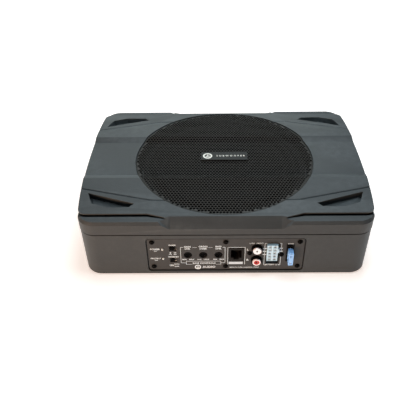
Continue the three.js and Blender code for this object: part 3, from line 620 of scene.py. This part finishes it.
# ------------------------------------------------------------------ legends and badge
def lettered(text, height, spacing):
    """Raised generic lettering in the XY plane, centred on the origin."""
    curve = bpy.data.curves.new("legend", "FONT")
    curve.body = text
    curve.size = height * 1.4
    curve.align_x = "CENTER"
    curve.align_y = "CENTER"
    curve.space_character = spacing
    curve.resolution_u = 2
    curve.extrude = 0.03 * MM
    curve.offset = height * 0.03
    shown = bpy.data.objects.new("legend", curve)
    bpy.context.scene.collection.objects.link(shown)
    bpy.context.view_layer.update()
    mesh = bpy.data.meshes.new_from_object(shown.evaluated_get(bpy.context.evaluated_depsgraph_get()))
    bpy.data.objects.remove(shown)
    bpy.data.curves.remove(curve)
    return mesh


def on_panel(x, z):
    """Places something drawn in XY on the control panel's face, x and z in millimetres."""
    place = Vector((PANEL_X + x * MM, PANEL_FACE - 0.03 * MM, DATUM + z * MM))
    return Matrix.Translation(place) @ FACING_FRONT


def line(x0, z0, x1, z1, width=0.4):
    """Printed line between two points of the panel."""
    pad = width / 2 * MM
    low = (min(x0, x1) * MM - pad, min(z0, z1) * MM - pad, -0.03 * MM)
    high = (max(x0, x1) * MM + pad, max(z0, z1) * MM + pad, 0.03 * MM)
    return moved(brick(low, high), on_panel(0, 0))


def path(*stops, width=0.4):
    return [line(*a, *b, width) for a, b in zip(stops, stops[1:])]


def words(text, x, z, height, spacing=1.05):
    return moved(lettered(text, height * MM, spacing), on_panel(x, z))


def make_panel_print():
    """Control legends and the frames that group them."""
    marks = [
        words("POWER", -80.2, 34.9, 2.2), words("ON", -80, 32.2, 1.4),
        words("PROTECT", -80.2, 20.4, 1.9), words("ON", -80, 17.7, 1.4),
        words("PHASE", -60.4, 41.1, 1.9),
        words("0", -62.9, 29.4, 2.3), words("180", -57.8, 29.4, 1.6, 0.95),
        words("DEG", -62.9, 26.9, 1.1), words("DEG", -57.8, 26.9, 1.1),
        words("MODE SET", -59.6, 22.9, 1.9, 0.95),
        words("ON", -62.4, 9.2, 2.4, 0.9),
        words("AUTO", -56.6, 11.1, 1.6, 0.95), words("SENSE", -56.6, 7.5, 1.4, 0.95),
        words("GAIN", -43.4, 38.6, 2.2), words("LEVEL", -43.4, 35.4, 1.9, 0.95),
        words("CROSS", -25.6, 38.8, 2.3), words("OVER", -25.6, 35.5, 2.3),
        words("BASS", -8.2, 38.8, 2.2), words("LEVEL", -8.2, 35.5, 2.0, 0.95),
        words("MIN", -47.4, 18.6, 1.9), words("MAX", -38.9, 18.6, 1.9), words("50HZ", -30.2, 18.6, 1.4),
        words("150HZ", -22.2, 18.6, 1.6), words("MIN", -12.1, 18.6, 1.7), words("MAX", -4.3, 18.6, 1.7),
        words("BASS CONTROLS", -24.8, 12.5, 2.3, 1.08), words("AUDIO", -19.2, 6.3, 3.2),
        words("LINE  INPUT", 34.5, 43.5, 1.6, 1.3), words("L", 24.9, 33.8, 2.8), words("R", 25.1, 17.4, 2.9),
        words("BATTERY 12 V", 53.6, 9.6, 1.8), words("FUSE", 73, 42.7, 1.6, 1.4),
        words("REMOTE LEVEL CONTROL INPUT", 21.8, 5.5, 1.45, 1.15),
    ]
    marks += path((-48.4, 37.8), (-51.3, 37.8), (-51.3, 13.3), (-45.4, 13.3))
    marks += path((-37.6, 37.6), (-32.8, 37.6), width=0.2)
    marks += path((-19.4, 37.6), (-15, 37.6), width=0.2)
    marks += path((-3.4, 37.8), (-0.7, 37.8), (-0.7, 13.3), (-5.5, 13.3))
    marks += path((-45.4, 10.7), (-45.4, 15.8), (-5.5, 15.8), (-5.5, 10.7))
    marks += path((-45.4, 10.7), (-38.6, 10.7), width=0.3) + path((-11, 10.7), (-5.5, 10.7), width=0.3)
    marks += path((2.4, 10.5), (2.4, 37.5), (22, 37.5), (22, 10.5))
    marks += path((46, 43.4), (44.2, 43.4), (44.2, 9.4), (45.6, 9.4))
    marks += path((61.2, 43.4), (62.9, 43.4), (62.9, 30.6)) + path((62.9, 22.2), (62.9, 9.4), (61.6, 9.4))
    for z in (35.7, 31.1, 26.2):
        marks += path((42.8, z), (45.8, z), width=1.1)
    for z in (35.9, 31.2):
        marks += path((61.2, z), (64, z), width=1.1)
    plate = moved(brick((3.6 * MM, 10.9 * MM, -0.03 * MM), (19.8 * MM, 14.6 * MM, 0.02 * MM)), on_panel(0, 0))
    piece("panel_silver_strip", plate, "zinc")
    piece("panel_print", merged(*marks, *emblem(on_panel(-32.1, 6.3), 3.6)), "signal_white")


def emblem(place, radius):
    """Plain round mark of level bars inside a ring."""
    r = radius * MM
    low, high = -0.03 * MM, 0.04 * MM
    ring = lathed([(r, low), (r, high), (r * 0.68, high), (r * 0.68, low)], 40)
    bars = [brick((x * r - 0.09 * r, -0.5 * r, low), (x * r + 0.09 * r, (h - 0.5) * r, high))
            for x, h in ((-0.3, 0.5), (0, 1.0), (0.3, 0.7))]
    return [moved(mesh, place) for mesh in (ring, *bars)]


def make_badge():
    low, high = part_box("badge_plate")
    refined("badge_plate", "badge_body", 0.35 * MM)
    middle = (low + high) / 2
    top = high.z + 0.03 * MM
    place = Matrix.Translation((low.x + 8.2 * MM, middle.y, top))
    word = moved(lettered("SUBWOOFER", 2.7 * MM, 1.85),
                 Matrix.Translation((middle.x + 8.1 * MM, middle.y, top)))
    piece("badge_print", merged(word, *emblem(place, 5.8)), "signal_white", finish="badge_white")


# ------------------------------------------------------------------ screws
def screw_mesh(head_radius, head_height, shank_radius, length, turn):
    """Pan-head screw along +Z with its head's crown at z = 0, a cross recess and a thread."""
    r, h = head_radius, head_height
    crown = [(r * math.sin(t), -h * 0.8 * (1 - math.cos(t)) / (1 - math.cos(1.25)))
             for t in [0.0, 0.3, 0.6, 0.85, 1.05, 1.25]]
    scale = r / crown[-1][0]
    profile = [(x * scale, z) for x, z in crown]
    profile += [(r, -h * 0.92), (r * 0.97, -h), (shank_radius, -h)]
    z = -h - 0.4 * MM
    pitch = 0.9 * MM
    while z - pitch > -length + shank_radius:
        profile += [(shank_radius * 0.78, z), (shank_radius, z - pitch / 2)]
        z -= pitch
    profile += [(shank_radius * 0.78, -length + shank_radius), (0, -length)]
    body = lathed(profile, 28)
    reach, narrow, deep = r * 0.55, r * 0.13, h * 0.72
    arms = []
    for angle in (0, 90):
        arm = brick((-reach, -narrow, -deep), (reach, narrow, h))
        for vertex in arm.vertices:
            if vertex.co.z < 0:
                vertex.co.x *= 0.45
        arms.append(moved(arm, Matrix.Rotation(math.radians(angle + turn), 4, "Z")))
    return carved(body, *arms)


def make_screws():
    names = sorted(n for n in frame["nodes"] if "_screw_" in n)
    for node in names:
        low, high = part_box(node)
        across = (high.x - low.x) / 2
        turn = chance.uniform(0, 90)
        middle = (low + high) / 2
        if node.startswith(("panel", "connector")):
            mesh = screw_mesh(across, 2.2 * MM, 1.45 * MM, high.y - low.y, turn)
            place = Matrix.Translation((middle.x, low.y, middle.z)) @ FACING_FRONT
        elif node.startswith("driver"):
            mesh = screw_mesh(across, 2.1 * MM, 1.45 * MM, high.z - low.z, turn)
            place = Matrix.Translation((middle.x, middle.y, high.z))
        else:
            mesh = screw_mesh(across, 2.0 * MM, 1.45 * MM, high.z - low.z, turn)
            place = Matrix.Translation((middle.x, middle.y, low.z)) @ FACING_DOWN
        piece(f"{node}_detail", moved(mesh, place), SLOT_OF[node], replaces=(node,), smooth=35)


# ------------------------------------------------------------------ controls
def make_leds():
    for node in ("led_power", "led_protect"):
        front = front_of(node)
        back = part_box(node)[1].y
        profile = [(0, 0), (0.5 * MM, -0.1 * MM), (0.95 * MM, -0.42 * MM), (1.2 * MM, -0.85 * MM),
                   (1.3 * MM, -1.5 * MM), (1.3 * MM, -3.5 * MM), (2.2 * MM, -3.5 * MM),
                   (2.2 * MM, front.y - back), (0, front.y - back)]
        lens = moved(lathed(profile, 24), Matrix.Translation(front) @ FACING_FRONT)
        piece(f"{node}_lens", lens, "led_lens", replaces=(node,), smooth=40)


def make_switches():
    for number in (1, 2):
        refined(f"switch_housing_{number}", f"switch_housing_{number}_body", 0.2 * MM)
        node = f"switch_slider_{number}"
        low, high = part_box(node)
        shoe = brick((low.x, low.y + 2.6 * MM, low.z), high, 0.15 * MM)
        knob = brick((low.x + 0.1 * MM, low.y, low.z + 0.1 * MM),
                     (high.x - 0.1 * MM, low.y + 3.2 * MM, high.z - 0.1 * MM), 0.25 * MM)
        ribs = [brick((low.x + x * MM, low.y - 1 * MM, low.z - 1 * MM),
                      (low.x + (x + 0.35) * MM, low.y + 0.55 * MM, high.z + 1 * MM))
                for x in (0.7, 1.4, 2.1, 2.8)]
        mesh = merged(carved(knob, *ribs), shoe)
        piece(f"{node}_knob", mesh, "black_plastic", BODY_OF[node], (node,), smooth=35)


def make_pots():
    """Recessed trimmer shafts: fluted edge, dished face and a cross slot."""
    for number in (1, 2, 3):
        refined(f"pot_body_{number}", f"pot_case_{number}", 0.25 * MM)
        node = f"pot_shaft_{number}"
        front = front_of(node)
        length = size(node).y
        r = size(node).x / 2
        profile = [(0, -0.5 * MM), (r * 0.62, -0.5 * MM), (r * 0.72, -0.1 * MM), (r * 0.85, 0),
                   (r * 0.93, -0.15 * MM), (r * 0.95, -0.4 * MM), (r * 0.95, -length), (0, -length)]
        knob = lathed(profile, 48)
        for vertex in knob.vertices:
            flute = round(math.degrees(math.atan2(vertex.co.y, vertex.co.x)) / 7.5) % 2
            if flute and math.hypot(vertex.co.x, vertex.co.y) > r * 0.9:
                vertex.co.x *= 0.955
                vertex.co.y *= 0.955
        slots = [moved(brick((-r * 0.66, -0.5 * MM, -1.4 * MM), (r * 0.66, 0.5 * MM, 1 * MM)),
                       Matrix.Rotation(math.radians(angle), 4, "Z")) for angle in (0, 90)]
        mesh = moved(carved(knob, *slots), Matrix.Translation(front) @ FACING_FRONT)
        piece(f"{node}_knob", mesh, "black_plastic", BODY_OF[node], (node,), smooth=35)


# ------------------------------------------------------------------ sockets
def make_jack():
    refined("remote_jack", "remote_jack_body", 0.25 * MM, finish="jack_plastic")
    low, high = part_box("remote_jack")
    middle = (low.x + high.x) / 2
    contacts = []
    for i in range(6):
        x = middle + (i - 2.5) * 1.27 * MM
        top = high.z - 2.95 * MM
        wire = brick((x - 0.2 * MM, low.y + 1.5 * MM, top - 0.2 * MM),
                     (x + 0.2 * MM, low.y + 11.6 * MM, top + 0.15 * MM))
        for vertex in wire.vertices:
            if vertex.co.y > low.y + 5 * MM:
                vertex.co.z -= 3.8 * MM
        contacts.append(wire)
    piece("remote_jack_contacts", merged(*contacts), "copper", smooth=30)


def make_phono_sockets():
    refined("rca_housing", "rca_block", 0.3 * MM)
    for node, reach in (("rca_ring_white", 0.92), ("rca_ring_red", 0.66)):
        low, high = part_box(node)
        front = front_of(node)
        length = high.y - low.y
        r = (high.x - low.x) / 2
        place = Matrix.Translation(front) @ FACING_FRONT
        inside = r * (reach + 0.01)
        shell = [(r, -0.35 * MM), (r * 0.965, 0), (inside + 0.15 * MM, 0), (inside, -0.3 * MM),
                 (inside, -length + 1 * MM), (r, -length + 1 * MM)]
        piece(f"{node}_shell", moved(lathed(shell, 48), place), "zinc", smooth=35, finish="plated_rim")
        bore = 1.2 * MM
        insert = [(bore, -0.5 * MM), (bore * 1.2, -0.2 * MM), (r * (reach - 0.06), -0.15 * MM),
                  (r * reach, -0.4 * MM), (r * reach, -length), (bore, -length)]
        piece(f"{node}_insert", moved(lathed(insert, 40), place), SLOT_OF[node], replaces=(node,), smooth=35)
        sleeve = [(0.85 * MM, -1.2 * MM), (1.1 * MM, -0.9 * MM), (1.17 * MM, -1.1 * MM),
                  (1.17 * MM, -length + 1 * MM), (0.85 * MM, -length + 1 * MM)]
        piece(f"{node}_contact", moved(lathed(sleeve, 24), place), "zinc", smooth=35)


def make_header():
    refined("power_header", "power_header_body", 0.22 * MM)
    low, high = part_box("power_header")
    right = high.x - 1.6 * MM
    width = right - low.x
    pins = []
    for row in range(5):
        for side in (-1, 1):
            x = low.x + width * (0.5 + side * 0.235)
            z = low.z + (high.z - low.z) * (row + 0.5) / 5
            for edge in (-1, 1):
                near, far = sorted((x + edge * 0.3 * MM, x + edge * 1.4 * MM))
                pins.append(brick((near, low.y + 0.8 * MM, z - 1.25 * MM),
                                  (far, low.y + 7.9 * MM, z + 1.25 * MM), 0.12 * MM))
    piece("power_header_terminals", merged(*pins), "zinc")


def make_fuse():
    """Blade fuse: shouldered body with windows, its element behind them and two blades."""
    refined("fuse_holder", "fuse_socket", 0.25 * MM)
    low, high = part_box("fuse")
    x = (low.x + high.x) / 2
    middle = (low.z + high.z) / 2
    half = (high.z - low.z) / 2
    front = low.y
    back = PANEL_FACE - 1.35 * MM
    side = [(-half + 1.2 * MM, front), (half - 1.2 * MM, front), (half, front + 1.2 * MM),
            (half, front + 6.5 * MM), (half - 0.7 * MM, front + 7.2 * MM), (half - 1.6 * MM, back),
            (-half + 1.6 * MM, back), (-half + 0.7 * MM, front + 7.2 * MM), (-half, front + 6.5 * MM),
            (-half, front + 1.2 * MM)]
    work = bmesh.new()
    for offset in (-1, 1):
        work.faces.new([work.verts.new((x + offset * (high.x - low.x) / 2, y, middle + z)) for z, y in side])
    work.verts.ensure_lookup_table()
    count = len(side)
    for i in range(count):
        n = (i + 1) % count
        work.faces.new((work.verts[i], work.verts[n], work.verts[n + count], work.verts[i + count]))
    body = mesh_of(work)
    cuts = []
    for s in (-1, 1):
        edge = x + s * (high.x - low.x) / 2
        cuts.append(brick((edge - 0.7 * MM, front + 2.6 * MM, middle - half + 3.4 * MM),
                          (edge + 0.7 * MM, back - 2.2 * MM, middle + half - 3.4 * MM)))
        cuts.append(brick((x - 1.2 * MM, front - 1 * MM, middle + s * 5.4 * MM - 1.1 * MM),
                          (x + 1.2 * MM, front + 0.8 * MM, middle + s * 5.4 * MM + 1.1 * MM)))
    shown = piece("fuse_body_shell", carved(body, *cuts), "fuse_blue", BODY_OF["fuse"], ("fuse",), smooth=30)
    soften(shown, 0.3 * MM, 30)
    blades = []
    for s in (-1, 1):
        z = middle + s * 5.9 * MM
        blade = brick((x - 0.33 * MM, back - 0.5 * MM, z - 2.5 * MM),
                      (x + 0.33 * MM, high.y, z + 2.5 * MM), 0.12 * MM)
        for vertex in blade.vertices:
            if vertex.co.y > high.y - 0.5 * MM:
                vertex.co.z = z + (vertex.co.z - z) * 0.7
        blades.append(blade)
        blades.append(brick((x - 0.4 * MM, front + 0.75 * MM, z - 0.5 * MM),
                            (x + 0.4 * MM, front + 0.95 * MM, z + 1.0 * MM)))
    piece("fuse_blades", merged(*blades), "zinc", BODY_OF["fuse"])


# ------------------------------------------------------------------ driver
def make_surround():
    """Half roll with two fine ribs, in sectors."""
    middle = centre("surround")
    low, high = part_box("surround")
    lip = low.z
    roll = 83.6 * MM
    outer = []
    for k in range(17):
        angle = math.pi * k / 16
        rib = 0.12 * MM * math.cos(6 * angle) if 2 <= k <= 14 else 0
        outer.append((roll - (5.0 * MM + rib) * math.cos(angle),
                      lip + 0.4 * MM + (5.0 * MM + rib) * math.sin(angle)))
    inner = [(roll + 4.3 * MM * math.cos(math.pi * k / 12),
              lip + 0.4 * MM + 4.2 * MM * math.sin(math.pi * k / 12)) for k in range(13)]
    section = [(75 * MM, lip + 0.65 * MM)] + outer + [(94.9 * MM, lip + 0.65 * MM), (94.9 * MM, lip)]
    section += inner + [(75 * MM, lip)]
    section = [(r, min(z, high.z)) for r, z in section]
    sectors("surround", middle, section, "surround_rubber")


def make_spider():
    """Corrugated cloth ring whose inner edge sits at the voice coil, in sectors."""
    middle = centre("spider")
    low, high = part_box("spider")
    inner, outer = 26.6 * MM, 62.6 * MM
    steps = 48
    wave = [(inner + (outer - inner) * k / steps,
             (low.z + high.z) / 2 + 0.62 * MM * math.cos(2 * math.pi * 4.5 * k / steps))
            for k in range(steps + 1)]
    section = [(r, z + 0.2 * MM) for r, z in wave] + [(r, z - 0.2 * MM) for r, z in reversed(wave)]
    sectors("spider", middle, section, "spider_cloth")


def sectors(node, middle, section, slot, count=16, steps=6):
    """Ring of revolution in separate sectors, each spanning the section from one radius to the other."""
    for i in range(count):
        work = bmesh.new()
        rings = []
        for k in range(steps + 1):
            angle = 2 * math.pi * (i + k / steps) / count
            rings.append([work.verts.new((middle.x + r * math.cos(angle), middle.y + r * math.sin(angle), z))
                          for r, z in section])
        bridge(work, rings, closed=False)
        mesh = mesh_of(work)
        mesh.materials.append(MATERIALS[slot])
        mesh.shade_smooth()
        mesh.set_sharp_from_angle(angle=math.radians(50))
        shown = bpy.data.objects.new(f"{node}_sector_{i + 1}", mesh)
        bpy.context.scene.collection.objects.link(shown)
        angle = 2 * math.pi * (i + 0.5) / count
        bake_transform(shown)
        if i == 0:
            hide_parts(node)


def make_cone():
    """Pressed pulp cone with shallow rings, a dust cap with a glued rim and a wound coil."""
    middle = centre("cone")
    low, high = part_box("cone")
    place = Matrix.Translation((middle.x, middle.y, 0))
    inner, outer = 25.9 * MM, 73.0 * MM
    steps = 30
    face = []
    for k in range(steps + 1):
        r = inner + (outer - inner) * k / steps
        z = low.z + 1.2 * MM + (high.z - low.z - 1.3 * MM) * k / steps
        ridge = 0.35 * MM * math.sin(math.pi * ((k - 8) % 7) / 7) ** 6 if 8 <= k <= 29 else 0
        face.append((r, z + ridge))
    under = [(r, z - 1.0 * MM) for r, z in face]
    rim = [(78.4 * MM, high.z), (78.4 * MM, high.z - 1.1 * MM), (73.6 * MM, high.z - 1.15 * MM)]
    profile = face + rim + list(reversed(under))
    piece("cone_body", moved(lathed(profile, 96), place), "cone_paper", "cone_assembly", ("cone",), smooth=30)

    low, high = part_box("dust_cap")
    radius = size("dust_cap").x / 2
    dome = []
    for k in range(13):
        r = radius * 0.985 * (1 - k / 12)
        dome.append((r, high.z - (high.z - low.z - 1.0 * MM) * (r / radius) ** 2))
    profile = [(radius, low.z + 0.2 * MM), (radius, low.z + 0.9 * MM)] + dome
    profile += [(0, high.z - 0.9 * MM), (radius * 0.9, low.z + 0.5 * MM)]
    piece("dust_cap_dome", moved(lathed(profile, 72), place), "cone_paper", "cone_assembly", ("dust_cap",),
          smooth=35)

    low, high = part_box("voice_coil")
    bore, sleeve, winding = 24.5 * MM, 25.3 * MM, 26.1 * MM
    profile = [(bore, low.z), (sleeve, low.z), (sleeve, low.z + 2 * MM)]
    turns = 30
    for k in range(turns + 1):
        profile.append((winding - (0.12 * MM if k % 2 else 0), low.z + 2 * MM + 14 * MM * k / turns))
    profile += [(sleeve, low.z + 16 * MM), (sleeve, high.z), (bore, high.z)]
    piece("voice_coil_winding", moved(lathed(profile, 64), place), "copper", "cone_assembly", ("voice_coil",),
          smooth=20)


def make_driver():
    make_surround()
    make_spider()
    make_cone()
    refined("basket", "basket_frame", 0.5 * MM, smooth=20, angle=20)
    refined("driver_gasket", "driver_gasket_ring", 0.25 * MM)
    refined("top_plate", "driver_top_plate", 0.4 * MM)
    refined("magnet", "driver_magnet", 0.5 * MM)
    refined("pole_yoke", "driver_yoke", 0.5 * MM)


# ------------------------------------------------------------------ amplifier
def overlaps(box, taken):
    """Whether a plan rectangle (x0, x1, y0, y1) meets any that is already taken."""
    return any(box[0] < t[1] and box[1] > t[0] and box[2] < t[3] and box[3] > t[2] for t in taken)


def make_board():
    """Board with its solder joints and small parts, and the larger parts on top."""
    low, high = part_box("circuit_board")
    refined("circuit_board", "board", 0.15 * MM)
    chips, cans, leads = [], [], []
    taken = []
    for part in ("transformer", "capacitor_1", "capacitor_2"):
        a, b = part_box(part)
        taken.append((a.x - 2 * MM, b.x + 2 * MM, a.y - 2 * MM, b.y + 2 * MM))
    for _ in range(120):
        w, d, h = (chance.uniform(*pair) * MM for pair in ((2, 9), (1.5, 6), (0.7, 2.2)))
        x = chance.uniform(low.x + 6 * MM, high.x - 6 * MM - w)
        y = chance.uniform(low.y + 20 * MM, high.y - 3 * MM - d)
        box = (x - 1 * MM, x + w + 1 * MM, y - 1 * MM, y + d + 1 * MM)
        if overlaps(box, taken):
            continue
        taken.append(box)
        chips.append(brick((x, y, high.z + 0.1 * MM), (x + w, y + d, high.z + h), 0.1 * MM, 1))
        for k in range(int(w / (1.3 * MM))):
            lead = x + (0.5 + k * 1.3) * MM
            leads.append(brick((lead, y - 0.7 * MM, high.z - 0.02 * MM),
                               (lead + 0.5 * MM, y + d + 0.7 * MM, high.z + 0.25 * MM)))
    piece("board_chips", merged(*chips), "black_plastic")
    piece("board_leads", merged(*leads), "zinc")
    for _ in range(14):
        x = chance.uniform(low.x + 8 * MM, high.x - 8 * MM)
        y = chance.uniform(low.y + 22 * MM, high.y - 6 * MM)
        box = (x - 3 * MM, x + 3 * MM, y - 3 * MM, y + 3 * MM)
        if overlaps(box, taken):
            continue
        taken.append(box)
        h = chance.uniform(4, 8) * MM
        can = lathed([(0, 0), (2.3 * MM, 0), (2.3 * MM, h - 0.4 * MM), (2.0 * MM, h), (0, h)], 20)
        cans.append(moved(can, Matrix.Translation((x, y, high.z + 0.2 * MM))))
    if cans:
        piece("board_cans", merged(*cans), "capacitor_sleeve", smooth=40)


def make_transformer():
    """Toroid choke: a core wrapped in separate turns of wire."""
    low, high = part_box("transformer")
    middle = (low + high) / 2
    ring = (high.x - low.x) / 2
    core_radius = 3.0 * MM
    across = ring - 4.6 * MM
    place = Matrix.Translation((middle.x, middle.y, middle.z))
    half = (high.z - low.z) / 2
    core = [(across - core_radius, -half + 1.5 * MM), (across + core_radius, -half + 1.5 * MM),
            (across + core_radius, half - 1.5 * MM), (across - core_radius, half - 1.5 * MM)]
    piece("choke_core", moved(lathed(core, 48), place), "ferrite", smooth=35)
    turns = []
    for i in range(34):
        angle = 2 * math.pi * i / 34
        wire = wire_loop(across, 4.0 * MM, half - 0.75 * MM, 0.72 * MM)
        turns.append(moved(wire, place @ Matrix.Rotation(angle, 4, "Z")))
    piece("choke_winding", merged(*turns), "copper", replaces=("transformer",), smooth=60)


def wire_loop(radius, half_width, half_height, thickness):
    """Closed turn of wire round a core's cross-section at the given radius along +X."""
    work = bmesh.new()
    stops = 14
    sides = 6
    rings = []
    for k in range(stops):
        a = 2 * math.pi * k / stops
        c, s = math.cos(a), math.sin(a)
        power = 0.55
        x = radius + half_width * math.copysign(abs(c) ** power, c)
        z = half_height * math.copysign(abs(s) ** power, s)
        out = Vector((c, 0, s))
        ring = []
        for j in range(sides):
            b = 2 * math.pi * j / sides
            offset = out * (thickness * math.cos(b)) + Vector((0, thickness * math.sin(b), 0))
            ring.append(work.verts.new(Vector((x, 0, z)) + offset))
        rings.append(ring)
    bridge(work, rings)
    return mesh_of(work)


def make_capacitors():
    for number in (1, 2):
        node = f"capacitor_{number}"
        low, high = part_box(node)
        middle = (low + high) / 2
        r, h = (high.x - low.x) / 2, high.z - low.z
        place = Matrix.Translation((middle.x, middle.y, low.z))
        profile = [(0, 0), (r * 0.96, 0), (r, 0.5 * MM), (r, 1.6 * MM), (r * 0.94, 2.1 * MM),
                   (r * 0.94, 2.6 * MM), (r, 3.1 * MM), (r, h - 0.9 * MM), (r * 0.95, h - 0.2 * MM),
                   (r * 0.86, h - 0.1 * MM), (r * 0.84, h - 0.5 * MM), (0, h - 0.5 * MM)]
        piece(f"{node}_can", moved(lathed(profile, 40), place), "capacitor_sleeve", replaces=(node,), smooth=35)
        top = lathed([(0, h - 0.45 * MM), (r * 0.82, h - 0.45 * MM),
                      (r * 0.82, h - 0.15 * MM), (0, h - 0.15 * MM)], 40)
        vents = [moved(brick((-r * 0.6, -0.12 * MM, h - 0.3 * MM), (r * 0.6, 0.12 * MM, h + 1 * MM)),
                       Matrix.Rotation(math.radians(a), 4, "Z")) for a in (0, 60, 120)]
        piece(f"{node}_top", moved(carved(top, *vents), place), "aluminium", smooth=35)


# ------------------------------------------------------------------ assembly
MATERIALS = finishes()
make_camera()
make_studio()
for node, shown in frame["nodes"].items():
    shown.data.materials.clear()
    shown.data.materials.append(MATERIALS[SLOT_OF[node]])

refined("top_cover", "cover_shell", 0.45 * MM, smooth=9, angle=12)
refined("lower_case", "case_shell", 0.5 * MM, smooth=9, angle=12)
refined("control_panel", "panel_plate", 0.25 * MM)
refined("cover_seal", "cover_gasket", 0.12 * MM, smooth=9)
for number in (1, 2, 3, 4):
    refined(f"foot_{number}", f"rubber_foot_{number}", 0.3 * MM)
make_grille()
make_pan_painted_shade()
make_badge()
make_panel_print()
make_screws()
make_leds()
make_switches()
make_pots()
make_jack()
make_phono_sockets()
make_header()
make_fuse()
make_driver()
make_board()
make_transformer()
make_capacitors()
refined("heat_sink", "heat_sink_fins", 0.2 * MM)
